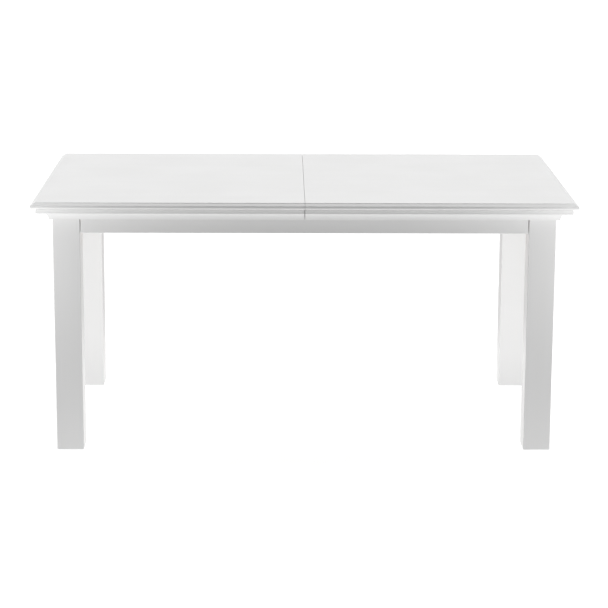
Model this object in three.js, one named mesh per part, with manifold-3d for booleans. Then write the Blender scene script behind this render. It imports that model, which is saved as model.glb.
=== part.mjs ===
// Extendable dining table with a self-storing butterfly leaf.
// Units are millimetres, +Z up. X runs along the table, the front faces -Y, and the origin is on the
// floor under the middle of the closed table.
//
// Four square legs and four aprons make a fixed frame. Two cross bearers and two full-length slide
// tracks lie inside it. Each half of the top runs outwards on two rails in those tracks, on ball cages
// that travel half as far. The leaf lies folded, show face to show face, in the well between the
// bearers. It turns over on two stub pins and opens like a book once the halves are apart.
import * as THREE from "three";
import { mergeVertices } from "three/addons/utils/BufferGeometryUtils.js";
import Module from "manifold-3d";

const wasm = await Module();
wasm.setup();

// ---- Driving dimensions ----
const LENGTH = 1600; // closed length, over the edges of the top
const DEPTH = 900;
const HEIGHT = 770;
const LEAF_WIDTH = 400; // what the leaf adds to the length
const TOP_THICKNESS = 18;
const OVERHANG = 58; // edge of the top to the outer face of a leg
const LEG_WIDTH = 80;
const LEG_EDGE = 2; // radius of the eased leg corners
const APRON_HEIGHT = 81;
const APRON_THICKNESS = 22;
const APRON_SETBACK = 1.5; // behind the face of the leg
const SHADOW_GAP = 1.5; // between the end of an apron and its leg

// ---- Clearances ----
const GLUE_GAP = 0.3; // between faces that are glued or screwed together
const SEAM_GAP = 0.8; // between the two halves of the closed top
const FRAME_GAP = 1; // top of the frame to the underside of the top
const SKIRT_GAP = 1.5; // inner face of the moulding to the leg
const LEAF_CLEARANCE = 0.5; // each end of the leaf to the open halves
const PAST = 1; // how far a cutter runs past a face, or a joined block into its neighbour

// ---- Edge of the top: inset from the outermost line, and drop below the top face ----
const FLAT_INSET = 11.5; // border of the flat face
const SLOPE_INSET = 11; // head of the slope, below a small step
const SLOPE_DROP = 1.6;
const SLOPE_ANGLE = 30; // fall of the slope, in degrees
const NOSE_RADIUS = 1.8; // rounding at the outermost line
const FACE_END = 12.2; // level where the edge starts to run under
const EDGE_UNDERCUT = 5; // inset of the edge at the underside

// ---- Moulding under the edge: an upper torus and a lower cove, in one length per side ----
const TORUS_INSET = 14.3; // behind the outermost line of the top
const TORUS_HEIGHT = 17;
const TORUS_RADIUS = 6.5;
const TORUS_FOOT = 3.5; // radius of its lower edge
const COVE_INSET = 40;
const COVE_HEIGHT = 22;
const COVE_FACE = 1.5; // straight face above the curve
const COVE_FROM = -36; // start and end of the curve, in degrees
const COVE_TO = -10;

// ---- Feet ----
const GLIDE_RADIUS = 22;
const GLIDE_HEIGHT = 2.5;
const FOOT_CHAMFER = 3;

// ---- Corner braces and cross bearers ----
const BRACE_THICKNESS = 28;
const BRACE_HEIGHT = 48;
const BEARER_THICKNESS = 22;
const BEARER_HEIGHT = 52;
const BEARER_OFFSET = 28; // end of the folded leaf to the bearer

// ---- Slides: a fixed C track, a moving hat rail and a ball cage between them ----
const TRACK_WIDTH = 44;
const TRACK_HEIGHT = 20;
const TRACK_TOP_DROP = 3; // below the underside of the top
const TRACK_WALL = 2;
const TRACK_LIP = 5;
const TRACK_END_GAP = 1; // to the end apron
const TRACK_TO_LEAF = 5; // side of the track to the folded leaf
const RAIL_WIDTH = 24;
const RAIL_WALL = 2;
const RAIL_FLANGE = 4; // foot flange, each side
const RAIL_FLOOR_GAP = 2; // foot of the rail to the floor of the track
const RAIL_SEAM_OFFSET = 15; // inner end of a rail to the seam
const STOP_GAP = 2; // rail to the end wall of its track, fully open
const CAGE_LENGTH = 280;
const CAGE_WALL = 1;
const CAGE_OUTER = 17.5; // half-width over the cage
const CAGE_HEIGHT = 12;
const CAGE_FLOOR_GAP = 0.5;

// ---- Folded leaf and its fittings ----
const LEAF_DROP = 12; // underside of the top to the folded leaf
const FOLD_GAP = 0.4; // between the two folded halves
const PIN_RADIUS = 4;
const PIN_CLEARANCE = 0.4;
const BRACKET_LENGTH = 60;
const BRACKET_WIDTH = 36;
const BRACKET_THICKNESS = 2.5;
const BRACKET_LUG = 12;
const BRACKET_INSET = 2; // end of the leaf to the plate
const BRACKET_CHEEK = 2; // of the lug, each side of the pin
const SADDLE_LENGTH = 44;
const SADDLE_TOP_GAP = 1.5; // below the underside of the top
const REST_LENGTH = 140;
const REST_HEIGHT = 20;
const REST_BEARING = 18; // how far the leaf lies on its rest
const REST_FROM_EDGE = 12; // front edge of the leaf to the rest
const HINGE_LENGTH = 56;
const HINGE_WIDTH = 11;
const HINGE_DEPTH = 14; // into the edge of the leaf
const CUP_WALL = 3; // behind the slot of a cup
const HINGE_CLEARANCE = 0.3;
const HINGE_INSET = 70; // end of the leaf to the middle of a hinge
const LINK_LENGTH = 34;
const LINK_BAR = 5; // thickness of the link at the fold
const LINK_REACH = 4.5; // how far the link stands proud of the edge
const LINK_STEP = 1; // its inner face to the edge
const LINK_CLEARANCE = 1; // its ends to the backs of the slots

// ---- Alignment dowels ----
const DOWEL_RADIUS = 4;
const DOWEL_LENGTH = 40;
const DOWEL_STANDS_OUT = 18;
const DOWEL_CLEARANCE = 0.4;
const DOWEL_FROM_EDGE = 110; // edge of the top to the dowel

// ---- Locks under the seam ----
const LOCK_THROW = 24; // pivot of the lever to the keeper's post
const LOCK_PLATE_THICKNESS = 2;
const LOCK_PLATE_WIDTH = 24;
const LOCK_PLATE_LENGTH = 36;
const LOCK_PLATE_OFFSET = 4; // plate to the seam
const LOCK_PIVOT_RADIUS = 4;
const LOCK_PIVOT_HEIGHT = 8;
const LOCK_POST_RADIUS = 3;
const LOCK_CLEARANCE = 0.4; // lever to its pivot and its plate
const HOOK_CLEARANCE = 1; // hook to the keeper's post
const LEVER_WIDTH = 14;
const LEVER_THICKNESS = 3;
const LEVER_TIP = 7; // beyond the post
const LEVER_TAB = 13; // thumb tab, behind the pivot
const LEVER_TAB_WIDTH = 8.4; // at its end
const LOCK_TO_TRACK = 4;

// ---- Levels and places that follow ----
const TOP_UNDERSIDE = HEIGHT - TOP_THICKNESS;
const FRAME_TOP = TOP_UNDERSIDE - FRAME_GAP;
const FRAME_X = LENGTH / 2 - OVERHANG; // outer face of the legs
const FRAME_Y = DEPTH / 2 - OVERHANG;
const LEG_X = FRAME_X - LEG_WIDTH / 2;
const LEG_Y = FRAME_Y - LEG_WIDTH / 2;
const APRON_INNER_X = FRAME_X - APRON_SETBACK - APRON_THICKNESS;
const APRON_INNER_Y = FRAME_Y - APRON_SETBACK - APRON_THICKNESS;
const TRAVEL = LEAF_WIDTH / 2;
const LEAF_LENGTH = LEAF_WIDTH - 2 * LEAF_CLEARANCE; // along X
const WING = (DEPTH - FOLD_GAP) / 2; // one half of the leaf, along Y
const TRACK_Y = WING / 2 + TRACK_TO_LEAF + TRACK_WIDTH / 2;
const TRACK_TOP = TOP_UNDERSIDE - TRACK_TOP_DROP;
const TRACK_BOTTOM = TRACK_TOP - TRACK_HEIGHT;
const SUPPORT_TOP = TRACK_BOTTOM - GLUE_GAP;
const BEARER_X = LEAF_WIDTH / 2 + BEARER_OFFSET + BEARER_THICKNESS / 2;
const LEAF_TOP = TOP_UNDERSIDE - LEAF_DROP; // back of the upper folded half
const FOLD_LEVEL = LEAF_TOP - TOP_THICKNESS; // show face of the upper folded half
const LOWER_TOP = FOLD_LEVEL - FOLD_GAP;
const LOWER_BOTTOM = LOWER_TOP - TOP_THICKNESS;
const SPINE_Y = WING / 2;
// A half turn about the pin carries the spine of the fold to the middle of the table, level with the top.
const PIN_Y = SPINE_Y / 2;
const PIN_Z = (HEIGHT + FOLD_LEVEL) / 2;
const LOCK_Y = TRACK_Y + TRACK_WIDTH / 2 + LOCK_TO_TRACK + LOCK_PLATE_WIDTH / 2;
const TRACK_HALF = APRON_INNER_X - TRACK_END_GAP;
const RAIL_OUTER = TRACK_HALF - TRACK_WALL - STOP_GAP - TRAVEL;
const RAIL_LENGTH = RAIL_OUTER - RAIL_SEAM_OFFSET;

const LEFT = -1;
const RIGHT = 1;
const FRONT = -1;
const BACK = 1;
const sideName = (side) => (side === LEFT ? "left" : "right");
const faceName = (face) => (face === FRONT ? "front" : "back");

// ---- Finishes ----
const paint = new THREE.MeshStandardMaterial({ color: 0xf1f1ef, roughness: 0.45, metalness: 0 });
const bareWood = new THREE.MeshStandardMaterial({ color: 0xc9a77c, roughness: 0.7, metalness: 0 });
const zinc = new THREE.MeshStandardMaterial({ color: 0xb9bcc0, roughness: 0.35, metalness: 1 });
const brass = new THREE.MeshStandardMaterial({ color: 0xc3a25a, roughness: 0.35, metalness: 1 });
const nylon = new THREE.MeshStandardMaterial({ color: 0xe4e2dc, roughness: 0.6, metalness: 0 });
const cageSteel = new THREE.MeshStandardMaterial({ color: 0x7d8186, roughness: 0.45, metalness: 1 });

// ---- Solids ----
/** A closed three.js geometry as a manifold solid. */
function solidOf(geometry) {
  const bare = geometry.clone();
  bare.deleteAttribute("normal");
  bare.deleteAttribute("uv");
  const merged = mergeVertices(bare, 1e-4);
  return new wasm.Manifold(
    new wasm.Mesh({
      numProp: 3,
      vertProperties: new Float32Array(merged.attributes.position.array),
      triVerts: new Uint32Array(merged.index.array),
    }),
  );
}

/** A manifold solid as a three.js geometry. */
function geometryOf(solid) {
  const mesh = solid.getMesh();
  const geometry = new THREE.BufferGeometry();
  geometry.setAttribute("position", new THREE.BufferAttribute(mesh.vertProperties, 3));
  geometry.setIndex(new THREE.BufferAttribute(mesh.triVerts, 1));
  return geometry;
}

/** A box from its lowest to its highest corner. */
function boxBetween([x0, y0, z0], [x1, y1, z1]) {
  const box = new THREE.BoxGeometry(x1 - x0, y1 - y0, z1 - z0);
  return solidOf(box.translate((x0 + x1) / 2, (y0 + y1) / 2, (z0 + z1) / 2));
}

/** A cylinder along one axis, from one end to the other. */
function rod(axis, radius, from, to, [a, b], sides = 24) {
  const cylinder = new THREE.CylinderGeometry(radius, radius, to - from, sides);
  const middle = (from + to) / 2;
  if (axis === "x") return solidOf(cylinder.rotateZ(Math.PI / 2).translate(middle, a, b));
  return solidOf(cylinder.rotateX(Math.PI / 2).translate(a, b, middle));
}

/** A closed outline of [across, up] points, drawn out along X between two places. */
function drawnAlongX(outline, from, to) {
  const shape = new THREE.Shape(outline.map(([across, up]) => new THREE.Vector2(across, up)));
  const drawn = new THREE.ExtrudeGeometry(shape, { depth: to - from, bevelEnabled: false });
  // The shape's x becomes Y, its y becomes Z, and its depth becomes X.
  const turn = new THREE.Matrix4().makeBasis(
    new THREE.Vector3(0, 1, 0),
    new THREE.Vector3(0, 0, 1),
    new THREE.Vector3(1, 0, 0),
  );
  return solidOf(drawn.applyMatrix4(turn).translate(from, 0, 0));
}

/** The same outline, drawn out along Y. */
function drawnAlongY(outline, from, to) {
  return drawnAlongX(outline, from, to).rotate([0, 0, -90]).scale([1, -1, 1]);
}

/** A closed outline of [x, y] points, drawn up between two levels. */
function drawnUp(outline, from, to) {
  const shape = new THREE.Shape(outline.map(([x, y]) => new THREE.Vector2(x, y)));
  const drawn = new THREE.ExtrudeGeometry(shape, { depth: to - from, bevelEnabled: false });
  return solidOf(drawn.translate(0, 0, from));
}

/** Points of a quarter ellipse about a centre, from one angle to another, in degrees. */
function arc([cx, cy], [rx, ry], fromDegrees, toDegrees, steps) {
  const from = THREE.MathUtils.degToRad(fromDegrees);
  const to = THREE.MathUtils.degToRad(toDegrees);
  const curve = new THREE.EllipseCurve(cx, cy, rx, ry, from, to, to < from, 0);
  return curve.getPoints(steps).map((p) => [p.x, p.y]);
}

/** The outline seen from the other side. */
const mirrored = (outline) => outline.map(([across, up]) => [-across, up]).reverse();

const group = new THREE.Group();

/** Adds a solid, made about its own origin, as a named mesh at a place. */
function place(name, solid, material, [x, y, z] = [0, 0, 0]) {
  const mesh = new THREE.Mesh(geometryOf(solid), material);
  mesh.name = name;
  mesh.position.set(x, y, z);
  group.add(mesh);
}

// ---- Frame ----
/** A square leg with eased corners and a small chamfer round its foot. */
function leg() {
  const half = LEG_WIDTH / 2;
  const c = half - LEG_EDGE;
  const round = (x, y, start) => arc([x, y], [LEG_EDGE, LEG_EDGE], start, start + 90, 3);
  const outline = [...round(c, c, 0), ...round(-c, c, 90), ...round(-c, -c, 180), ...round(c, -c, 270)];
  const shaft = drawnUp(outline, GLIDE_HEIGHT + FOOT_CHAMFER, FRAME_TOP);
  const shrink = 1 - FOOT_CHAMFER / half;
  const sole = outline.map(([x, y]) => [shrink * x, shrink * y]);
  // The shaft is convex, so a hull over it and its sole leaves the chamfer between them.
  return wasm.Manifold.hull([shaft, drawnUp(sole, GLIDE_HEIGHT, FRAME_TOP)]);
}

/** A low domed glide under a leg. */
function glide() {
  const rim = GLIDE_HEIGHT - GLUE_GAP;
  const outline = [
    [0, 0],
    [GLIDE_RADIUS - rim, 0],
    [GLIDE_RADIUS, rim / 2],
    [GLIDE_RADIUS, rim],
    [0, rim],
  ].map(([r, z]) => new THREE.Vector2(r, z));
  return solidOf(new THREE.LatheGeometry(outline, 28).rotateX(Math.PI / 2));
}

/** A rail between two legs. Its own X runs along it, and its outer face looks to -Y. */
function apron(span) {
  const half = span / 2 - LEG_WIDTH - SHADOW_GAP;
  return boxBetween(
    [-half, 0, FRAME_TOP - APRON_HEIGHT],
    [half, APRON_THICKNESS, FRAME_TOP],
  );
}

/** A diagonal brace across one corner of the frame, behind the leg. */
function cornerBrace(side, face) {
  const legX = FRAME_X - LEG_WIDTH;
  const legY = FRAME_Y - LEG_WIDTH;
  const outer = legX + legY - GLUE_GAP * Math.SQRT2; // x + y along the face that meets the leg
  const inner = outer - BRACE_THICKNESS * Math.SQRT2;
  const wallX = APRON_INNER_X - GLUE_GAP;
  const wallY = APRON_INNER_Y - GLUE_GAP;
  const corners = [
    [wallX, outer - wallX],
    [wallX, inner - wallX],
    [inner - wallY, wallY],
    [outer - wallY, wallY],
  ];
  const turned = corners.map(([x, y]) => [side * x, face * y]);
  const outline = side * face > 0 ? turned.reverse() : turned;
  return drawnUp(outline, SUPPORT_TOP - BRACE_HEIGHT, SUPPORT_TOP);
}

for (const side of [LEFT, RIGHT]) {
  for (const face of [FRONT, BACK]) {
    const corner = `${faceName(face)}_${sideName(side)}`;
    place(`leg_${corner}`, leg(), paint, [side * LEG_X, face * LEG_Y, 0]);
    place(`glide_${corner}`, glide(), nylon, [side * LEG_X, face * LEG_Y, 0]);
    place(`corner_brace_${corner}`, cornerBrace(side, face), bareWood);
  }
}
for (const face of [FRONT, BACK]) {
  const y = face === FRONT ? -FRAME_Y + APRON_SETBACK : APRON_INNER_Y;
  place(`apron_${faceName(face)}`, apron(2 * FRAME_X), paint, [0, y, 0]);
}
for (const side of [LEFT, RIGHT]) {
  const x = side === LEFT ? -APRON_INNER_X : FRAME_X - APRON_SETBACK;
  place(`apron_${sideName(side)}`, apron(2 * FRAME_Y).rotate([0, 0, 90]), paint, [x, 0, 0]);
}
for (const side of [LEFT, RIGHT]) {
  const half = [BEARER_THICKNESS / 2, APRON_INNER_Y - GLUE_GAP];
  const bearer = boxBetween([-half[0], -half[1], -BEARER_HEIGHT], [half[0], half[1], 0]);
  place(`cross_bearer_${sideName(side)}`, bearer, bareWood, [side * BEARER_X, 0, SUPPORT_TOP]);
}

// ---- Slides ----
/** The section of a track: a C that opens upwards. Its base is at level 0. */
function trackOutline() {
  const outer = TRACK_WIDTH / 2;
  const inner = outer - TRACK_WALL;
  const lip = inner - TRACK_LIP;
  const under = TRACK_HEIGHT - TRACK_WALL;
  const right = [
    [outer, 0],
    [outer, TRACK_HEIGHT],
    [lip, TRACK_HEIGHT],
    [lip, under],
    [inner, under],
    [inner, TRACK_WALL],
  ];
  return [...right, ...mirrored(right)];
}

/** A full-length track with an end wall at each end, where the rails stop. */
function track() {
  const wallHeight = TRACK_HEIGHT - TRACK_WALL - CAGE_FLOOR_GAP;
  const half = TRACK_WIDTH / 2 - TRACK_WALL;
  const channel = drawnAlongX(trackOutline(), -TRACK_HALF, TRACK_HALF);
  const endWall = (x0, x1) => boxBetween([x0, -half - PAST, PAST], [x1, half + PAST, wallHeight]);
  return channel
    .add(endWall(-TRACK_HALF, -TRACK_HALF + TRACK_WALL))
    .add(endWall(TRACK_HALF - TRACK_WALL, TRACK_HALF));
}

/** The section of a rail: a hat with its crown up, at level 0, and its foot flanges turned out. */
function railOutline() {
  const outer = RAIL_WIDTH / 2;
  const inner = outer - RAIL_WALL;
  const foot = -(TRACK_TOP_DROP - GLUE_GAP + TRACK_HEIGHT - TRACK_WALL - RAIL_FLOOR_GAP);
  const right = [
    [inner, -RAIL_WALL],
    [inner, foot],
    [outer + RAIL_FLANGE, foot],
    [outer + RAIL_FLANGE, foot + RAIL_WALL],
    [outer, foot + RAIL_WALL],
    [outer, 0],
  ];
  return [...right, ...mirrored(right)];
}

/** A rail, from its inner end at x = 0 outwards to one side. */
function rail(side) {
  const [from, to] = side === LEFT ? [-RAIL_LENGTH, 0] : [0, RAIL_LENGTH];
  return drawnAlongX(railOutline(), from, to);
}

/** The section of a ball cage: a thin U round the foot of the rail. */
function cageOutline() {
  const outer = CAGE_OUTER;
  const inner = outer - CAGE_WALL;
  const right = [
    [outer, 0],
    [outer, CAGE_HEIGHT],
    [inner, CAGE_HEIGHT],
    [inner, CAGE_WALL],
  ];
  return [...right, ...mirrored(right)];
}

for (const face of [FRONT, BACK]) {
  const y = face * TRACK_Y;
  place(`slide_track_${faceName(face)}`, track(), zinc, [0, y, TRACK_BOTTOM]);
  for (const side of [LEFT, RIGHT]) {
    const name = `${faceName(face)}_${sideName(side)}`;
    place(`slide_rail_${name}`, rail(side), zinc, [side * RAIL_SEAM_OFFSET, y, TOP_UNDERSIDE - GLUE_GAP]);
    // The cage keeps the middle of the rail between its two ends of travel.
    const middle = RAIL_SEAM_OFFSET + RAIL_LENGTH / 2;
    const cage = drawnAlongX(cageOutline(), -CAGE_LENGTH / 2, CAGE_LENGTH / 2);
    const level = TRACK_BOTTOM + TRACK_WALL + CAGE_FLOOR_GAP;
    place(`ball_cage_${name}`, cage, cageSteel, [side * middle, y, level]);
  }
}

// ---- Top and its mouldings ----
/** The edge of a board, from its flat face down to its back: [inset, drop] pairs. */
function edgePoints() {
  const fall = THREE.MathUtils.degToRad(SLOPE_ANGLE);
  const run = SLOPE_INSET - NOSE_RADIUS * (1 - Math.sin(fall));
  const middle = SLOPE_DROP + run * Math.tan(fall) + NOSE_RADIUS * Math.cos(fall);
  const nose = arc([NOSE_RADIUS, middle], [NOSE_RADIUS, NOSE_RADIUS], 270 - SLOPE_ANGLE, 180, 4);
  const under = arc([EDGE_UNDERCUT, FACE_END], [EDGE_UNDERCUT, TOP_THICKNESS - FACE_END], 180, 90, 5);
  return [[FLAT_INSET, 0], [SLOPE_INSET, SLOPE_DROP], ...nose, ...under];
}

/** The section of a board with a moulded edge at each end, or a square one where it isn't moulded. */
function boardOutline(low, high, mouldedLow, mouldedHigh) {
  const edge = edgePoints().map(([inset, drop]) => [inset, -drop]);
  const square = [
    [0, 0],
    [0, -TOP_THICKNESS],
  ];
  const lowSide = (mouldedLow ? edge : square).map(([inset, z]) => [low + inset, z]);
  const highSide = (mouldedHigh ? edge : square).map(([inset, z]) => [high - inset, z]);
  return [...lowSide, ...highSide.reverse()];
}

/** Half of the top, moulded on its three outer sides. Its face is at level 0. */
function halfTop(side) {
  const reach = LENGTH / 2;
  const seam = SEAM_GAP / 2;
  const [x0, x1] = side === LEFT ? [-reach, -seam] : [seam, reach];
  const across = drawnAlongX(boardOutline(-DEPTH / 2, DEPTH / 2, true, true), x0, x1);
  const along = drawnAlongY(boardOutline(x0, x1, side === LEFT, side === RIGHT), -DEPTH / 2, DEPTH / 2);
  return across.intersect(along);
}

/** The section of the moulding: [inset from the outermost line of the top, drop below its top]. */
function mouldingPoints() {
  const back = OVERHANG - SKIRT_GAP;
  const [upper, lower] = [TORUS_RADIUS, TORUS_FOOT];
  const base = TORUS_HEIGHT + COVE_HEIGHT;
  const from = THREE.MathUtils.degToRad(COVE_FROM);
  const to = THREE.MathUtils.degToRad(COVE_TO);
  const radius = (COVE_HEIGHT - COVE_FACE) / (Math.sin(to) - Math.sin(from));
  const centre = [COVE_INSET - radius * Math.cos(from), base - radius * Math.sin(to)];
  return [
    [back, 0],
    ...arc([TORUS_INSET + upper, upper], [upper, upper], 270, 180, 4),
    ...arc([TORUS_INSET + lower, TORUS_HEIGHT - lower], [lower, lower], 180, 90, 4),
    [COVE_INSET, TORUS_HEIGHT],
    ...arc(centre, [radius, radius], COVE_FROM, COVE_TO, 6),
    [back, base],
  ];
}

/** Moulding along the front or back of one half: cut square at the seam and mitred at the corner. */
function longMoulding(side, face) {
  const points = mouldingPoints().map(([inset, drop]) => [face * (DEPTH / 2 - inset), -drop]);
  const outline = face === FRONT ? points : points.reverse();
  const seam = SEAM_GAP / 2;
  const reach = LENGTH / 2;
  const [x0, x1] = side === LEFT ? [-reach, -seam] : [seam, reach];
  return drawnAlongX(outline, x0, x1).intersect(mitrePlan(side, face, true));
}

/** Moulding across one end of the table, mitred at both corners. */
function endMoulding(side) {
  const points = mouldingPoints().map(([inset, drop]) => [side * (LENGTH / 2 - inset), -drop]);
  const outline = side === LEFT ? points : points.reverse();
  const strip = drawnAlongY(outline, -DEPTH / 2, DEPTH / 2);
  return strip.intersect(mitrePlan(side, FRONT, false)).intersect(mitrePlan(side, BACK, false));
}

/** Everything on one side of a corner's 45 degree line, held back from it by half a glue gap. */
function mitrePlan(side, face, longSide) {
  const far = LENGTH + DEPTH;
  const gap = (GLUE_GAP / 2) * Math.SQRT2;
  const [cx, cy] = [(side * LENGTH) / 2, (face * DEPTH) / 2];
  // The mitre runs from the corner towards the inside, along (-side, -face).
  const start = longSide ? [cx - side * gap, cy] : [cx, cy - face * gap];
  const onLine = (t) => [start[0] - side * t, start[1] - face * t];
  const away = longSide ? [-side * far * 2, 0] : [0, -face * far * 2];
  const near = onLine(-far / 8);
  const end = onLine(far / 4);
  const outline = [
    near,
    end,
    [end[0] + away[0], end[1] + away[1]],
    [near[0] + away[0], near[1] + away[1]],
  ];
  const area = THREE.ShapeUtils.area(outline.map(([x, y]) => new THREE.Vector2(x, y)));
  return drawnUp(area < 0 ? outline.reverse() : outline, -HEIGHT, HEIGHT);
}

const DOWEL_Y = DEPTH / 2 - DOWEL_FROM_EDGE;
const DOWEL_DROP = TOP_THICKNESS / 2;

/** A blind hole for the buried or the loose part of a dowel. */
function dowelHole(from, to, y, z) {
  return rod("x", DOWEL_RADIUS + DOWEL_CLEARANCE, from, to, [y, z]);
}

/** A dowel with its buried end at x = 0. */
const dowel = () => rod("x", DOWEL_RADIUS, 0, DOWEL_LENGTH, [0, 0]);

const BURIED = DOWEL_LENGTH - DOWEL_STANDS_OUT;
const HOLE_END = 1.5; // past the end of a dowel

for (const side of [LEFT, RIGHT]) {
  let top = halfTop(side);
  for (const face of [FRONT, BACK]) {
    const seam = SEAM_GAP / 2;
    const hole =
      side === LEFT
        ? dowelHole(-seam - BURIED - HOLE_END, 0, face * DOWEL_Y, -DOWEL_DROP)
        : dowelHole(0, DOWEL_STANDS_OUT - seam + HOLE_END, face * DOWEL_Y, -DOWEL_DROP);
    top = top.subtract(hole);
  }
  place(`tabletop_${sideName(side)}`, top, paint, [0, 0, HEIGHT]);
  for (const face of [FRONT, BACK]) {
    const name = `moulding_${faceName(face)}_${sideName(side)}`;
    place(name, longMoulding(side, face), paint, [0, 0, TOP_UNDERSIDE - GLUE_GAP]);
  }
  place(`moulding_end_${sideName(side)}`, endMoulding(side), paint, [0, 0, TOP_UNDERSIDE - GLUE_GAP]);
}
for (const face of [FRONT, BACK]) {
  const at = [-SEAM_GAP / 2 - BURIED, face * DOWEL_Y, HEIGHT - DOWEL_DROP];
  place(`seam_dowel_${faceName(face)}`, dowel(), bareWood, at);
}

// ---- Locks ----
/** The fixed plate and pivot of a lock, hung under the left half. Its pivot is at the origin. */
function lockBase() {
  const edge = LOCK_THROW / 2 - LOCK_PLATE_OFFSET;
  const half = LOCK_PLATE_WIDTH / 2;
  const plate = boxBetween([edge - LOCK_PLATE_LENGTH, -half, -LOCK_PLATE_THICKNESS], [edge, half, 0]);
  return plate.add(rod("z", LOCK_PIVOT_RADIUS, -LOCK_PIVOT_HEIGHT, -1, [0, 0]));
}

/** The keeper: a plate and a post, hung under the right half. Its post is at the origin. */
function lockKeeper() {
  const edge = LOCK_PLATE_OFFSET - LOCK_THROW / 2;
  const half = LOCK_PLATE_WIDTH / 2;
  const plate = boxBetween([edge, -half, -LOCK_PLATE_THICKNESS], [edge + LOCK_PLATE_LENGTH, half, 0]);
  return plate.add(rod("z", LOCK_POST_RADIUS, -LOCK_PIVOT_HEIGHT, -1, [0, 0]));
}

/** The lever, pointing to one face of the table, with its hook open towards +X. */
function lockLever(face) {
  const half = LEVER_WIDTH / 2;
  const reach = LOCK_THROW + LEVER_TIP;
  const tip = arc([0, reach - half], [half, half], 0, 180, 8);
  const tail = [
    [-half, 0],
    [-LEVER_TAB_WIDTH / 2, -LEVER_TAB],
    [LEVER_TAB_WIDTH / 2, -LEVER_TAB],
    [half, 0],
  ];
  const outline = [...tip, ...tail].map(([x, y]) => [x, face * y]);
  const blade = drawnUp(face === FRONT ? outline.reverse() : outline, 0, LEVER_THICKNESS);
  const eye = rod("z", LOCK_PIVOT_RADIUS + LOCK_CLEARANCE, -PAST, LEVER_THICKNESS + PAST, [0, 0]);
  // The post swings in on an arc, so the mouth of the hook starts a little nearer the pivot.
  const mouth = Math.sqrt(LOCK_THROW ** 2 - half ** 2);
  const width = LOCK_POST_RADIUS + HOOK_CLEARANCE;
  const [near, far] = [mouth - width, LOCK_THROW + width];
  const slot = [
    [-width, face * (LOCK_THROW - width)],
    [half + PAST, face * near],
    [half + PAST, face * far],
    [-width, face * far],
  ];
  const hook = drawnUp(face === FRONT ? slot.reverse() : slot, -PAST, LEVER_THICKNESS + PAST);
  return blade.subtract(eye).subtract(hook);
}

for (const face of [FRONT, BACK]) {
  const y = face * LOCK_Y;
  const level = TOP_UNDERSIDE - GLUE_GAP;
  const pivot = -LOCK_THROW / 2;
  const leverLevel = level - LOCK_PLATE_THICKNESS - LOCK_CLEARANCE - LEVER_THICKNESS;
  place(`lock_base_${faceName(face)}`, lockBase(), zinc, [pivot, y, level]);
  place(`lock_lever_${faceName(face)}`, lockLever(face), brass, [pivot, y, leverLevel]);
  place(`lock_keeper_${faceName(face)}`, lockKeeper(), zinc, [pivot + LOCK_THROW, y, level]);
}

// ---- Folded leaf ----
/**
 * One half of the leaf as it lies folded: show face at level 0 looking up, spine at +Y. Its left end
 * takes the dowel of the left top, and its right end holds a dowel of its own.
 */
function leafHalf() {
  const half = LEAF_LENGTH / 2;
  const y = dowelFromSpine();
  let board = drawnAlongX(boardOutline(-SPINE_Y, SPINE_Y, true, false), -half, half);
  for (const end of [LEFT, RIGHT]) {
    board = board.subtract(hingePocket(end * (half - HINGE_INSET)));
  }
  return board
    .subtract(dowelHole(-half - PAST, -half + DOWEL_STANDS_OUT + HOLE_END, y, -DOWEL_DROP))
    .subtract(dowelHole(half - BURIED - HOLE_END, half + PAST, y, -DOWEL_DROP));
}

/** Where a dowel of the leaf lies in the folded half, so that it meets the hole in the top. */
const dowelFromSpine = () => SPINE_Y - DOWEL_Y;

/** The pocket for one cup of a hinge, in the spine edge of a half that lies face up. */
function hingePocket(x) {
  const c = HINGE_CLEARANCE;
  const half = HINGE_LENGTH / 2 + c;
  const middle = -TOP_THICKNESS / 2;
  return boxBetween(
    [x - half, SPINE_Y - HINGE_DEPTH - c, middle - HINGE_WIDTH / 2 - c],
    [x + half, SPINE_Y + PAST, middle + HINGE_WIDTH / 2 + c],
  );
}

/** A hinge cup, flush with the spine edge, with a slot for the link. Its middle is on the edge. */
function hingeCup() {
  const body = boxBetween(
    [-HINGE_LENGTH / 2, -HINGE_DEPTH, -HINGE_WIDTH / 2],
    [HINGE_LENGTH / 2, 0, HINGE_WIDTH / 2],
  );
  const slot = LINK_BAR / 2 + HINGE_CLEARANCE;
  const half = LINK_LENGTH / 2 + HINGE_CLEARANCE;
  return body.subtract(boxBetween([-half, -HINGE_DEPTH + CUP_WALL, -slot], [half, PAST, slot]));
}

/** The link between the two cups of a folded hinge: a U that stands a little proud of the edge. */
function hingeLink() {
  const reach = TOP_THICKNESS + FOLD_GAP; // between the middles of the two cups
  const bar = LINK_BAR / 2;
  const deep = HINGE_DEPTH - CUP_WALL - LINK_CLEARANCE;
  const outer = reach / 2 + bar;
  const inner = reach / 2 - bar;
  const outline = [
    [-deep, -outer],
    [LINK_REACH, -outer],
    [LINK_REACH, outer],
    [-deep, outer],
    [-deep, inner],
    [LINK_STEP, inner],
    [LINK_STEP, -inner],
    [-deep, -inner],
  ];
  return drawnAlongX(outline, -LINK_LENGTH / 2, LINK_LENGTH / 2);
}

// The two halves lie show face to show face, so the upper one is the lower one in a mirror.
place("leaf_lower_half", leafHalf(), paint, [0, 0, LOWER_TOP]);
place("leaf_upper_half", leafHalf().scale([1, 1, -1]), paint, [0, 0, FOLD_LEVEL]);

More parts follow.
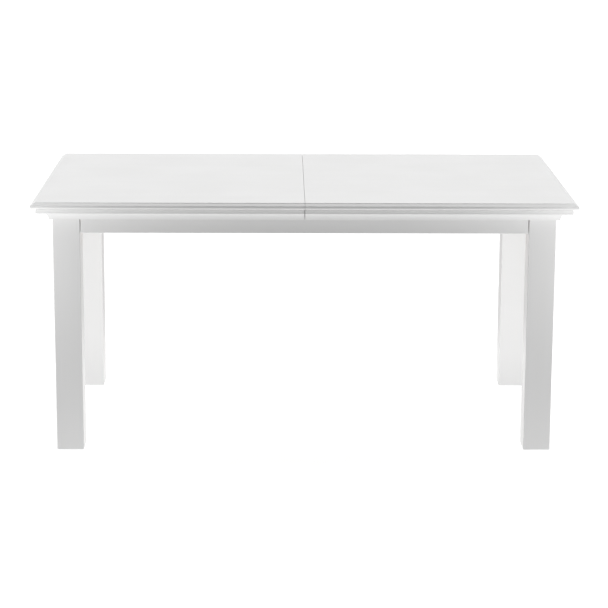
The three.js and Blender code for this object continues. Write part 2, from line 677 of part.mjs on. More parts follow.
for (const side of [LEFT, RIGHT]) {
  const x = side * (LEAF_LENGTH / 2 - HINGE_INSET);
  const name = `leaf_hinge_${sideName(side)}`;
  const fold = (LOWER_TOP + FOLD_LEVEL) / 2;
  place(`${name}_lower_cup`, hingeCup(), zinc, [x, SPINE_Y, LOWER_TOP - TOP_THICKNESS / 2]);
  place(`${name}_upper_cup`, hingeCup(), zinc, [x, SPINE_Y, FOLD_LEVEL + TOP_THICKNESS / 2]);
  place(`${name}_link`, hingeLink(), zinc, [x, SPINE_Y, fold]);
}

// The dowel of each half stands out to the right, short of the bearer.
const leafDowelX = LEAF_LENGTH / 2 - BURIED;
place("leaf_dowel_lower", dowel(), bareWood, [leafDowelX, dowelFromSpine(), LOWER_TOP - DOWEL_DROP]);
place("leaf_dowel_upper", dowel(), bareWood, [leafDowelX, dowelFromSpine(), FOLD_LEVEL + DOWEL_DROP]);

/** A stub pin on its plate, screwed to the back of the upper half, near one end. */
function pivotPin(side) {
  const end = LEAF_LENGTH / 2;
  const plateEnd = end - BRACKET_INSET;
  const plateTop = LEAF_TOP + GLUE_GAP + BRACKET_THICKNESS;
  const pinEnd = BEARER_X + BEARER_THICKNESS / 2;
  const span = (x0, x1) => (side === LEFT ? [-x1, -x0] : [x0, x1]);
  const block = ([x0, x1], halfY, z0, z1) => boxBetween([x0, -halfY, z0], [x1, halfY, z1]);
  const plateAcross = span(plateEnd - BRACKET_WIDTH, plateEnd);
  const plate = block(plateAcross, BRACKET_LENGTH / 2, LEAF_TOP + GLUE_GAP, plateTop);
  const lugAcross = span(plateEnd - BRACKET_LUG, plateEnd);
  const lug = block(lugAcross, PIN_RADIUS + BRACKET_CHEEK, plateTop - PAST, PIN_Z + PIN_RADIUS);
  const [from, to] = span(plateEnd - BRACKET_LUG / 2, pinEnd);
  return plate.add(lug).add(rod("x", PIN_RADIUS, from, to, [0, PIN_Z]));
}

/** A saddle on the bearer, with a slot that is open at the top for the pin. */
function pivotSaddle() {
  const half = [BEARER_THICKNESS / 2, SADDLE_LENGTH / 2];
  const top = TOP_UNDERSIDE - SADDLE_TOP_GAP;
  const block = boxBetween([-half[0], -half[1], SUPPORT_TOP + GLUE_GAP], [half[0], half[1], top]);
  const radius = PIN_RADIUS + PIN_CLEARANCE;
  const seat = rod("x", radius, -half[0] - PAST, half[0] + PAST, [0, PIN_Z]);
  const mouth = boxBetween([-half[0] - PAST, -radius, PIN_Z], [half[0] + PAST, radius, top + PAST]);
  return block.subtract(seat).subtract(mouth);
}

/** The ledge that carries the front of the folded leaf, screwed to a bearer. */
function leafRest(side) {
  const inner = LEAF_LENGTH / 2 - REST_BEARING;
  const outer = BEARER_X - BEARER_THICKNESS / 2 - GLUE_GAP;
  const [x0, x1] = side === LEFT ? [-outer, -inner] : [inner, outer];
  const front = -SPINE_Y + REST_FROM_EDGE;
  const top = LOWER_BOTTOM - GLUE_GAP;
  return boxBetween([x0, front, top - REST_HEIGHT], [x1, front + REST_LENGTH, top]);
}

for (const side of [LEFT, RIGHT]) {
  place(`leaf_pivot_pin_${sideName(side)}`, pivotPin(side), zinc, [0, PIN_Y, 0]);
  place(`leaf_pivot_saddle_${sideName(side)}`, pivotSaddle(), nylon, [side * BEARER_X, PIN_Y, 0]);
  place(`leaf_rest_${sideName(side)}`, leafRest(side), bareWood);
}

export default group;
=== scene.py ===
"""The looks of an extendable dining table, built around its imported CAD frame.

The table is satin white lacquered wood. Two halves of the top slide apart on steel tracks inside a
fixed frame of legs and aprons, over a folding leaf that is stored in the well. Every length is in
metres, and every place is worked out from the frame's own nodes.
"""

import logging
import math
from collections.abc import Iterable, Sequence
from dataclasses import dataclass
from enum import Enum
from functools import lru_cache
from typing import Union

import bmesh
import bpy
from mathutils import Matrix, Vector


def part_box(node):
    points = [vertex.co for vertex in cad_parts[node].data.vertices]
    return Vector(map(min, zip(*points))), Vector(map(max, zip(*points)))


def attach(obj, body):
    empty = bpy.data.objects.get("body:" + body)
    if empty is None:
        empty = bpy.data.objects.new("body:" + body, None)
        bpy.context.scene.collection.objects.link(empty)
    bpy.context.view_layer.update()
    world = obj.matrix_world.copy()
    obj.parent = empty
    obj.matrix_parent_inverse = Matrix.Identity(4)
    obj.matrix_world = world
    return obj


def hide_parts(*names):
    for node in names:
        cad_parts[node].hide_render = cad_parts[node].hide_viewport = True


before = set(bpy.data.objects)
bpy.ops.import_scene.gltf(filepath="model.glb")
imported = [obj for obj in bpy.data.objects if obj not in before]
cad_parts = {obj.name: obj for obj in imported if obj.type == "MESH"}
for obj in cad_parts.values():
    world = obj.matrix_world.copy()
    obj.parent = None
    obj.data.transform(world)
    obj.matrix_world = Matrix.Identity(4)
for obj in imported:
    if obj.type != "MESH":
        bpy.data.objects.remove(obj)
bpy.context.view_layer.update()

MM = 0.001
Outline = list[tuple[float, float]]
Value = Union["Link", float, tuple]
FACING = 0.9  # a face looks along an axis when its normal has at least this much of it
PAST = 1.0 * MM  # how far a cutter runs past the face that it cuts
MERGE_DISTANCE = 0.002 * MM
FLAT_ANGLE = 0.5  # faces of a CAD node that differ by less, in degrees, are one flat face
SEED = 7
SHARP_MARGIN = 8.0  # an eased edge stays sharp in shading past its own angle and this, in degrees
BALL_DETAIL = 2  # subdivisions of a ball
FLUTE_POINTS = 4  # points round each flute of a dowel
FLUTE_SHARP = 40.0
log = logging.getLogger("dining_table")


class Side(Enum):
    """Which half of the table a piece belongs to, as the sign of its x."""

    LEFT = -1
    RIGHT = 1


class Face(Enum):
    """Which long face of the table a piece is near, as the sign of its y."""

    FRONT = -1
    BACK = 1


class Grain(Enum):
    """The axis that the wood fibres of a piece follow."""

    ALONG = 0
    ACROSS = 1
    UPRIGHT = 2


def word(choice: Enum) -> str:
    """The plain word that stands for a choice in node names."""
    return choice.name.lower()


# ---- Node trees ----
class Link:
    """An output socket that takes part in arithmetic; each operator adds one Math node."""

    def __init__(self, tree: "Tree", socket: bpy.types.NodeSocket) -> None:
        """Wraps a socket.

        Args:
            tree: The tree that the socket's node is in.
            socket: The output socket.
        """
        self.tree = tree
        self.socket = socket

    def _math(self, operation: str, first: Value, second: Value) -> "Link":
        """One Math node on two values."""
        return self.tree.add("ShaderNodeMath", {"operation": operation}, {0: first, 1: second})

    def __add__(self, other: Value) -> "Link":
        """self + other."""
        return self._math("ADD", self, other)

    def __sub__(self, other: Value) -> "Link":
        """self - other."""
        return self._math("SUBTRACT", self, other)

    def __rsub__(self, other: Value) -> "Link":
        """other - self."""
        return self._math("SUBTRACT", other, self)

    def __mul__(self, other: Value) -> "Link":
        """self * other."""
        return self._math("MULTIPLY", self, other)

    __radd__ = __add__
    __rmul__ = __mul__


class Tree:
    """A node tree that is filled through one method."""

    def __init__(self, nodes: bpy.types.NodeTree) -> None:
        """Starts on an empty tree.

        Args:
            nodes: The tree to fill; what it holds is removed.
        """
        self.nodes = nodes
        self.nodes.nodes.clear()

    def add(
        self, kind: str, settings: dict | None = None, inputs: dict | None = None, output: int | str = 0
    ) -> Link:
        """Adds a node of any kind.

        Args:
            kind: The node's type name.
            settings: Properties, set before the inputs.
            inputs: Values or links, by socket name or number.
            output: The output socket to hand back.

        Returns:
            The chosen output.
        """
        node = self.nodes.nodes.new(kind)
        for key, value in (settings or {}).items():
            setattr(node, key, value)
        for key, value in (inputs or {}).items():
            if isinstance(value, Link):
                self.nodes.links.new(value.socket, node.inputs[key])
            else:
                node.inputs[key].default_value = value
        return Link(self, node.outputs[output]) if node.outputs else Link(self, None)

    def noise(self, place: Link, scale: float, detail: float = 2.0, roughness: float = 0.5) -> Link:
        """Fractal noise from 0 to 1."""
        inputs = {"Vector": place, "Scale": scale, "Detail": detail, "Roughness": roughness}
        return self.add("ShaderNodeTexNoise", {"noise_dimensions": "3D"}, inputs, "Fac")

    def stretched(self, place: Link, scale: tuple[float, float, float]) -> Link:
        """A place, scaled by its own amount along each axis."""
        return self.add("ShaderNodeVectorMath", {"operation": "MULTIPLY"}, {0: place, 1: scale})

    def mix(self, mask: Value, low: Value, high: Value) -> Link:
        """A colour between two colours."""
        inputs = {"Factor": mask, 6: low, 7: high}
        return self.add("ShaderNodeMix", {"data_type": "RGBA"}, inputs, 2)

    def between(
        self, value: Link, low: float, high: float, new_low: float = 0.0, new_high: float = 1.0
    ) -> Link:
        """A value moved from one range to another, and held inside it."""
        inputs = {"Value": value, "From Min": low, "From Max": high, "To Min": new_low, "To Max": new_high}
        return self.add("ShaderNodeMapRange", {"clamp": True, "interpolation_type": "SMOOTHSTEP"}, inputs)


# ---- Finishes ----
@dataclass(frozen=True)
class Finish:
    """What every finish shares: a name, a record slot and a way to a Principled material."""

    name: str
    slot: str

    def material(self, grain: Grain = Grain.ALONG) -> bpy.types.Material:
        """The finish as a material whose pattern follows one axis.

        Args:
            grain: The axis that the pattern follows.

        Returns:
            The material, made once for each axis.
        """
        return _material(self, grain)

    def dress(self, tree: Tree, place: Link, grain: Grain) -> dict:
        """What the finish looks like.

        Args:
            tree: The material's tree.
            place: Object coordinates.
            grain: The axis that the pattern follows.

        Returns:
            The inputs of the Principled shader: links for what varies, numbers for what doesn't.
        """
        raise NotImplementedError


@lru_cache(maxsize=None)
def _material(finish: Finish, grain: Grain) -> bpy.types.Material:
    """Builds a finish's node tree once.

    Args:
        finish: The finish.
        grain: The axis that its pattern follows.

    Returns:
        The material.
    """
    material = bpy.data.materials.new(f"{finish.name}_{word(grain)}")
    material.use_nodes = True
    tree = Tree(material.node_tree)
    place = tree.add("ShaderNodeTexCoord", output="Object")
    shader = tree.add("ShaderNodeBsdfPrincipled", inputs=finish.dress(tree, place, grain))
    tree.add("ShaderNodeOutputMaterial", inputs={"Surface": shader})
    return material


def along(grain: Grain, lengthways: float, sideways: float) -> tuple[float, float, float]:
    """A scale that differs on the axis that the grain follows.

    Args:
        grain: The axis.
        lengthways: The scale on it.
        sideways: The scale on the other two.

    Returns:
        The scale for each axis.
    """
    scale = [sideways] * 3
    scale[grain.value] = lengthways
    return tuple(scale)


@dataclass(frozen=True)
class Lacquer(Finish):
    """Sprayed satin lacquer over wood whose grain just shows through."""

    paint: tuple = (0.83, 0.83, 0.828, 1.0)
    thin_paint: tuple = (0.795, 0.793, 0.785, 1.0)
    roughness: float = 0.36
    grain_per_metre: float = 260.0
    peel_per_metre: float = 900.0

    def dress(self, tree: Tree, place: Link, grain: Grain) -> dict:
        """Clouded white, faint fibres and a fine orange peel.

        Args:
            tree: The material's tree.
            place: Object coordinates.
            grain: The axis that the pattern follows.

        Returns:
            The inputs of the Principled shader: links for what varies, numbers for what doesn't.
        """
        fibres = tree.noise(tree.stretched(place, along(grain, 6.0, self.grain_per_metre)), 1.0, 3.0)
        rings = tree.noise(tree.stretched(place, along(grain, 0.9, 22.0)), 1.0, 2.0)
        cloud = tree.noise(place, 5.0, 2.0)
        peel = tree.noise(place, self.peel_per_metre, 1.0)
        pores = tree.between(fibres, 0.62, 0.78)
        thin = tree.between(rings, 0.35, 0.75) * 0.2 + tree.between(cloud, 0.3, 0.7) * 0.15 + pores * 0.25
        height = peel * 0.5 + fibres * 0.2 - pores * 0.5
        bump = tree.add("ShaderNodeBump", None, {"Strength": 0.12, "Distance": 0.00006, "Height": height})
        sheen = tree.between(cloud, 0.25, 0.75, self.roughness - 0.05, self.roughness + 0.06)
        return {
            "Base Color": tree.mix(thin, self.paint, self.thin_paint),
            "Roughness": sheen + pores * 0.08,
            "Normal": bump,
            "Specular IOR Level": 0.5,
            "Coat Weight": 0.12,
            "Coat Roughness": 0.22,
        }


@dataclass(frozen=True)
class BareWood(Finish):
    """Planed beech: short flecks and soft growth rings."""

    early: tuple = (0.66, 0.47, 0.30, 1.0)
    late: tuple = (0.47, 0.29, 0.165, 1.0)
    fleck: tuple = (0.33, 0.185, 0.095, 1.0)

    def dress(self, tree: Tree, place: Link, grain: Grain) -> dict:
        """Rings that wander along the grain, with ray flecks over them.

        Args:
            tree: The material's tree.
            place: Object coordinates.
            grain: The axis that the pattern follows.

        Returns:
            The inputs of the Principled shader: links for what varies, numbers for what doesn't.
        """
        wander = tree.noise(tree.stretched(place, along(grain, 2.0, 14.0)), 1.0, 3.0)
        rings = tree.add("ShaderNodeMath", {"operation": "SINE"}, {0: wander * 42.0})
        fibres = tree.noise(tree.stretched(place, along(grain, 30.0, 900.0)), 1.0, 3.0)
        specks = tree.noise(tree.stretched(place, along(grain, 60.0, 620.0)), 1.0, 1.0)
        flecks = tree.between(specks, 0.62, 0.74)
        body = tree.mix(rings * 0.28 + 0.35 + fibres * 0.25, self.early, self.late)
        height = fibres * 0.6 - flecks * 0.5
        bump = tree.add("ShaderNodeBump", None, {"Strength": 0.35, "Distance": 0.0003, "Height": height})
        return {
            "Base Color": tree.mix(flecks * 0.7, body, self.fleck),
            "Roughness": 0.58 + fibres * 0.16,
            "Normal": bump,
            "Specular IOR Level": 0.35,
        }


@dataclass(frozen=True)
class Metal(Finish):
    """A rolled or plated metal with faint drawn lines and blotches."""

    bright: tuple = (0.74, 0.75, 0.77, 1.0)
    dull: tuple = (0.58, 0.58, 0.57, 1.0)
    roughness: float = 0.30
    lines: float = 0.25

    def dress(self, tree: Tree, place: Link, grain: Grain) -> dict:
        """Blotches of plating over lines along the rolling direction.

        Args:
            tree: The material's tree.
            place: Object coordinates.
            grain: The axis that the pattern follows.

        Returns:
            The inputs of the Principled shader: links for what varies, numbers for what doesn't.
        """
        drawn = tree.noise(tree.stretched(place, along(grain, 8.0, 1500.0)), 1.0, 2.0)
        blotch = tree.between(tree.noise(place, 65.0, 3.0, 0.6), 0.35, 0.7)
        spots = tree.between(tree.noise(place, 420.0, 1.0), 0.68, 0.76)
        bump = tree.add("ShaderNodeBump", None, {"Strength": self.lines, "Distance": 0.0001, "Height": drawn})
        return {
            "Base Color": tree.mix(blotch * 0.7 + spots * 0.3, self.bright, self.dull),
            "Metallic": 1.0,
            "Roughness": self.roughness + blotch * 0.10 + drawn * 0.08,
            "Normal": bump,
        }


@dataclass(frozen=True)
class Nylon(Finish):
    """Moulded nylon with a fine matt texture."""

    colour: tuple = (0.80, 0.79, 0.75, 1.0)
    shade: tuple = (0.70, 0.68, 0.63, 1.0)

    def dress(self, tree: Tree, place: Link, grain: Grain) -> dict:
        """A spark-eroded texture and faint flow marks.

        Args:
            tree: The material's tree.
            place: Object coordinates.
            grain: The axis that the pattern follows.

        Returns:
            The inputs of the Principled shader: links for what varies, numbers for what doesn't.
        """
        flow = tree.noise(tree.stretched(place, along(grain, 30.0, 90.0)), 1.0, 2.0)
        texture = tree.noise(place, 2200.0, 2.0)
        bump = tree.add("ShaderNodeBump", None, {"Strength": 0.3, "Distance": 0.0001, "Height": texture})
        return {
            "Base Color": tree.mix(tree.between(flow, 0.3, 0.7), self.colour, self.shade),
            "Roughness": 0.48 + texture * 0.14,
            "Normal": bump,
            "Subsurface Weight": 0.15,
            "Subsurface Scale": 0.002,
        }


LACQUER = Lacquer("satin_lacquer", "white_lacquer")
# Near-black painted shade for the faces inside the narrow gaps at the seam and at the apron ends; it stands
# in for the shade in those gaps, not for the colour of the wood.
SEAM_SHADE_PAINT = Lacquer("sealed_end", "white_lacquer", (0.10, 0.098, 0.094, 1.0), (0.07, 0.067, 0.062, 1.0), 0.6)
WOOD = BareWood("planed_beech", "bare_wood")
ZINC = Metal("zinc_plate", "zinc_steel")
CAGE = Metal("phosphated_steel", "cage_steel", (0.42, 0.43, 0.45, 1.0), (0.30, 0.30, 0.31, 1.0), 0.42, 0.15)
BRASS = Metal("satin_brass", "lever_brass", (0.80, 0.62, 0.30, 1.0), (0.62, 0.45, 0.20, 1.0), 0.27, 0.3)
NYLON = Nylon("glide_nylon", "glide_nylon")


# ---- Meshes ----
def arc(centre: tuple, radii: tuple, start: float, end: float, steps: int) -> Outline:
    """Points along part of an ellipse.

    Args:
        centre: Its centre.
        radii: Its two half-axes.
        start: First angle, in degrees.
        end: Last angle, in degrees.
        steps: Number of stretches between points.

    Returns:
        steps + 1 points.
    """
    points = []
    for step in range(steps + 1):
        angle = math.radians(start + (end - start) * step / steps)
        points.append((centre[0] + radii[0] * math.cos(angle), centre[1] + radii[1] * math.sin(angle)))
    return points


class Shape:
    """A closed mesh that is being built."""

    def __init__(self) -> None:
        """Starts with nothing in it."""
        self.mesh = bmesh.new()

    @classmethod
    def of_node(cls, node: str) -> "Shape":
        """A merged copy of a CAD node, with its flat faces whole again.

        Args:
            node: The node's name.

        Returns:
            The shape.
        """
        shape = cls()
        shape.mesh.from_mesh(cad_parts[node].data)
        bmesh.ops.remove_doubles(shape.mesh, verts=shape.mesh.verts, dist=MERGE_DISTANCE)
        flat = math.radians(FLAT_ANGLE)
        bmesh.ops.dissolve_limit(
            shape.mesh, angle_limit=flat, verts=shape.mesh.verts, edges=shape.mesh.edges
        )
        for face in shape.mesh.faces:
            face.material_index = 0
        return shape

    def skin(self, rings: Sequence[Sequence[Vector]]) -> "Shape":
        """Joins rings of equal length into a closed tube with a cap at each end.

        Args:
            rings: The rings, from one end to the other.

        Returns:
            The shape.
        """
        made = [[self.mesh.verts.new(point) for point in ring] for ring in rings]
        count = len(made[0])
        for near, far in zip(made, made[1:]):
            for i in range(count):
                self.mesh.faces.new((near[i], near[(i + 1) % count], far[(i + 1) % count], far[i]))
        self.mesh.faces.new(made[0][::-1])
        self.mesh.faces.new(made[-1])
        return self

    def revolve(self, outline: Outline, sides: int, place: Matrix = Matrix.Identity(4)) -> "Shape":
        """Turns an outline round an axis.

        Args:
            outline: (radius, level) points; the first and the last lie on the axis.
            sides: Number of faces round it.
            place: Where the axis and its origin are.

        Returns:
            The shape.
        """
        first = self.mesh.verts.new(place @ Vector((0.0, 0.0, outline[0][1])))
        last = self.mesh.verts.new(place @ Vector((0.0, 0.0, outline[-1][1])))
        rings = []
        for radius, level in outline[1:-1]:
            turns = [math.tau * i / sides for i in range(sides)]
            ring = [Vector((radius * math.cos(t), radius * math.sin(t), level)) for t in turns]
            rings.append([self.mesh.verts.new(place @ point) for point in ring])
        for i in range(sides):
            j = (i + 1) % sides
            self.mesh.faces.new((first, rings[0][j], rings[0][i]))
            for near, far in zip(rings, rings[1:]):
                self.mesh.faces.new((near[i], near[j], far[j], far[i]))
            self.mesh.faces.new((last, rings[-1][i], rings[-1][j]))
        return self

    def block(self, low: Sequence[float], high: Sequence[float]) -> "Shape":
        """A block between two corners."""
        corners = ((low[0], low[1]), (high[0], low[1]), (high[0], high[1]), (low[0], high[1]))
        return self.skin([[Vector((x, y, z)) for x, y in corners] for z in (low[2], high[2])])

    def object(self, name: str) -> bpy.types.Object:
        """The shape as an object in the scene, with its faces turned outwards.

        Args:
            name: The object's name.

        Returns:
            The object, at the origin.
        """
        bmesh.ops.recalc_face_normals(self.mesh, faces=self.mesh.faces)
        data = bpy.data.meshes.new(name)
        self.mesh.to_mesh(data)
        self.mesh.free()
        made = bpy.data.objects.new(name, data)
        bpy.context.scene.collection.objects.link(made)
        return made


def settle(piece: bpy.types.Object) -> bpy.types.Object:
    """Turns what a piece's modifiers make into its plain mesh, and removes them.

    Args:
        piece: The piece.

    Returns:
        The same piece.
    """
    depsgraph = bpy.context.evaluated_depsgraph_get()
    mesh = bpy.data.meshes.new_from_object(piece.evaluated_get(depsgraph), depsgraph=depsgraph)
    piece.modifiers.clear()
    piece.data = mesh
    return piece


def cut(piece: bpy.types.Object, tool: bpy.types.Object) -> bpy.types.Object:
    """Takes one solid out of another.

    Args:
        piece: The solid that is kept.
        tool: The solid that is taken out of it, and then removed.

    Returns:
        The first solid.
    """
    difference = piece.modifiers.new("cut", "BOOLEAN")
    difference.operation = "DIFFERENCE"
    difference.solver = "EXACT"
    difference.object = tool
    settle(piece)
    bpy.data.objects.remove(tool)
    return piece


def ease(piece: bpy.types.Object, width: float, segments: int = 2, angle: float = 40.0) -> bpy.types.Object:
    """Rounds the sharp edges of a piece and shades its flats flat and its rounds smooth.

    Args:
        piece: The piece.
        width: Width of the rounding.
        segments: Number of faces across it.
        angle: Edges sharper than this, in degrees, are rounded.

    Returns:
        The same piece, with a plain mesh.
    """
    bevel = piece.modifiers.new("ease", "BEVEL")
    bevel.width = width
    bevel.segments = segments
    bevel.limit_method = "ANGLE"
    bevel.angle_limit = math.radians(angle)
    bevel.miter_outer = "MITER_ARC"
    smooth(settle(piece), angle + SHARP_MARGIN)
    weighted = piece.modifiers.new("flats", "WEIGHTED_NORMAL")
    weighted.keep_sharp = True
    return settle(piece)


def hand_over(
    piece: bpy.types.Object,
    body: str,
    finish: Finish,
    grain: Grain = Grain.ALONG,
    nodes: Iterable[str] = (),
    others: Iterable[Finish] = (),
) -> bpy.types.Object:
    """Dresses a finished piece and gives it to a body of the frame.

    Args:
        piece: The piece, in place.
        body: The CAD body that it rides on.
        finish: Its finish.
        grain: The axis that its pattern follows.
        nodes: The CAD nodes that it stands for.
        others: Finishes of the faces that were given a later material number.

    Returns:
        The piece.
    """
    finishes = [finish.material(grain), *(second.material(grain) for second in others)]
    piece.data.materials.clear()
    for material in finishes:
        piece.data.materials.append(material)
    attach(piece, body)
    if nodes:
        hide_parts(*nodes)
    log.info("%-28s %6d faces on %s", piece.name, len(piece.data.polygons), body)
    return piece


def smooth(piece: bpy.types.Object, angle: float) -> bpy.types.Object:
    """Shades a piece smooth, apart from its sharp edges.

    Args:
        piece: The piece.
        angle: Edges sharper than this, in degrees, stay sharp.

    Returns:
        The same piece.
    """
    for polygon in piece.data.polygons:
        polygon.use_smooth = True
    piece.data.set_sharp_from_angle(angle=math.radians(angle))
    return piece


def from_node(
    node: str, name: str, body: str, finish: Finish, grain: Grain, width: float
) -> bpy.types.Object:
    """A piece with the shape of one CAD node and eased edges."""
    return hand_over(ease(Shape.of_node(node).object(name), width), body, finish, grain, [node])


# ---- Repeated pieces, as Geometry Nodes ----
@dataclass(frozen=True)
class Spot:
    """Where a fastener sits and which way its head looks."""

    place: tuple
    aim: tuple


class PointTree:
    """A Geometry Nodes tree that puts one head on each point, turned at random about its axis."""

    def __init__(self) -> None:
        """Builds the tree, with named inputs for its head, its seed and its material."""
        self.group = bpy.data.node_groups.new("heads_on_points", "GeometryNodeTree")
        tree = Tree(self.group)
        faces = self.group.interface
        faces.new_socket("Geometry", in_out="INPUT", socket_type="NodeSocketGeometry")
        sockets = {"Head": "Object", "Seed": "Int", "Material": "Material"}
        self.inputs = {
            name: faces.new_socket(name, in_out="INPUT", socket_type=f"NodeSocket{kind}").identifier
            for name, kind in sockets.items()
        }
        faces.new_socket("Geometry", in_out="OUTPUT", socket_type="NodeSocketGeometry")
        given = tree.add("NodeGroupInput").socket.node.outputs
        aim = tree.add("GeometryNodeInputNamedAttribute", {"data_type": "FLOAT_VECTOR"}, {"Name": "aim"})
        turned = tree.add("FunctionNodeAlignRotationToVector", {"axis": "Z"}, {"Vector": aim})
        turns = {2: 0.0, 3: math.tau, "Seed": Link(tree, given["Seed"])}
        spin = tree.add("FunctionNodeRandomValue", {"data_type": "FLOAT"}, turns, 1)
        about = tree.add("ShaderNodeCombineXYZ", None, {"Z": spin})
        local = tree.add("FunctionNodeEulerToRotation", None, {"Euler": about})
        order = {"Rotation": turned, "Rotate By": local}
        both = tree.add("FunctionNodeRotateRotation", {"rotation_space": "LOCAL"}, order)
        head = tree.add("GeometryNodeObjectInfo", None, {"Object": Link(tree, given["Head"])}, "Geometry")
        points = {"Points": Link(tree, given["Geometry"]), "Instance": head, "Rotation": both}
        placed = tree.add("GeometryNodeInstanceOnPoints", None, points)
        real = tree.add("GeometryNodeRealizeInstances", None, {"Geometry": placed})
        cover = {"Geometry": real, "Material": Link(tree, given["Material"])}
        dressed = tree.add("GeometryNodeSetMaterial", None, cover)
        tree.add("NodeGroupOutput", None, {0: dressed})

    def scatter(
        self, name: str, spots: Sequence[Spot], head: bpy.types.Object, finish: Finish
    ) -> bpy.types.Object:
        """Puts a head on each spot.

        Args:
            name: Name of the piece.
            spots: Where the heads go.
            head: The head, looking along +Z from the origin; it is kept for the next call.
            finish: The finish of the heads.

        Returns:
            One plain mesh with every head.
        """
        data = bpy.data.meshes.new(name)
        data.from_pydata([spot.place for spot in spots], [], [])
        aims = data.attributes.new("aim", "FLOAT_VECTOR", "POINT")
        aims.data.foreach_set("vector", [value for spot in spots for value in spot.aim])
        piece = bpy.data.objects.new(name, data)
        bpy.context.scene.collection.objects.link(piece)
        modifier = piece.modifiers.new("heads", "NODES")
        modifier.node_group = self.group
        modifier[self.inputs["Head"]] = head
        modifier[self.inputs["Seed"]] = SEED
        modifier[self.inputs["Material"]] = finish.material()
        bpy.context.view_layer.update()
        return settle(piece)


@dataclass
class Fasteners:
    """Every screw and nut, made from three shared heads."""

    pan_radius: float = 3.6 * MM
    pan_height: float = 1.5 * MM
    flat_radius: float = 3.3 * MM
    flat_height: float = 0.5 * MM
    pan_crown: float = 0.55
    flat_crown: float = 0.95
    head_sunk: float = 0.2 * MM
    head_rim: float = 0.35
    cross_width: float = 1.1 * MM
    cross_reach: float = 0.62
    cross_depth: float = 0.45
    cross_floor: float = 0.15 * MM
    nut_across: float = 13.0 * MM
    nut_height: float = 6.0 * MM
    washer_radius: float = 12.0 * MM
    washer_height: float = 1.5 * MM
    bolt_radius: float = 4.0 * MM
    bolt_end: float = 4.0 * MM
    bolt_chamfer: float = 1.0 * MM
    nut_chamfer: tuple = ((0.90, 0.0), (1.0, 0.12), (1.0, 0.88), (0.90, 1.0))
    sharp: float = 35.0
    head_sides: int = 20
    crown_steps: int = 4
    washer_sides: int = 28
    bolt_sides: int = 18

    def __post_init__(self) -> None:
        """Makes the tree and the heads."""
        self.tree = PointTree()
        self.pan = self.cross_head("pan_head", self.pan_radius, self.pan_height, self.pan_crown)
        self.flat = self.cross_head("flat_head", self.flat_radius, self.flat_height, self.flat_crown)
        self.nut = self.bolt_and_nut()

    def cross_head(self, name: str, radius: float, height: float, crown: float) -> bpy.types.Object:
        """A domed screw head with a cross recess.

        Args:
            name: Its name.
            radius: Its radius.
            height: How far it stands out.
            crown: Radius of its flat middle, as a share of its radius.

        Returns:
            The head, looking along +Z.
        """
        edge = radius * crown
        rim = height * self.head_rim
        outline = [(0.0, -self.head_sunk), (radius, -self.head_sunk), (radius, rim)]
        outline += arc((edge, rim), (radius - edge, height - rim), 0, 90, self.crown_steps)[1:]
        outline.append((0.0, height))
        head = Shape().revolve(outline, self.head_sides).object(name)
        reach = radius * self.cross_reach
        half = self.cross_width / 2
        bottom = height * (1 - self.cross_depth) - self.cross_floor
        for x, y in ((reach, half), (half, reach)):
            cut(head, Shape().block((-x, -y, bottom), (x, y, height + PAST)).object("recess"))
        return head

    def bolt_and_nut(self) -> bpy.types.Object:
        """A washer, a chamfered hexagon nut and the end of its bolt, in one head.

        Returns:
            The head, looking along +Z.
        """
        shape = Shape()
        rim, base = self.washer_radius, self.washer_height
        shape.revolve([(0.0, 0.0), (rim, 0.0), (rim, base), (0.0, base)], self.washer_sides)
        corner = self.nut_across / 2 / math.cos(math.pi / 6)
        rings = []
        for share, level in self.nut_chamfer:
            turns = [math.pi / 3 * i for i in range(6)]
            radius = corner * share
            z = base + self.nut_height * level
            rings.append([Vector((radius * math.cos(t), radius * math.sin(t), z)) for t in turns])
        shape.skin(rings)
        radius, chamfer = self.bolt_radius, self.bolt_chamfer
        start = base + self.nut_height - PAST
        end = base + self.nut_height + self.bolt_end
        side = [(radius, start), (radius, end - chamfer), (radius - chamfer, end)]
        shape.revolve([(0.0, start), *side, (0.0, end)], self.bolt_sides)
        return shape.object("bolt_and_nut")

    def put(self, name: str, spots: Sequence[Spot], head: bpy.types.Object, body: str) -> bpy.types.Object:
        """Puts zinc-plated heads on a body."""
        piece = smooth(self.tree.scatter(name, spots, head, ZINC), self.sharp)
        return hand_over(piece, body, ZINC)

    def clear(self) -> None:
        """Removes the shared heads, which aren't pieces themselves."""
        for head in (self.pan, self.flat, self.nut):
            bpy.data.objects.remove(head)


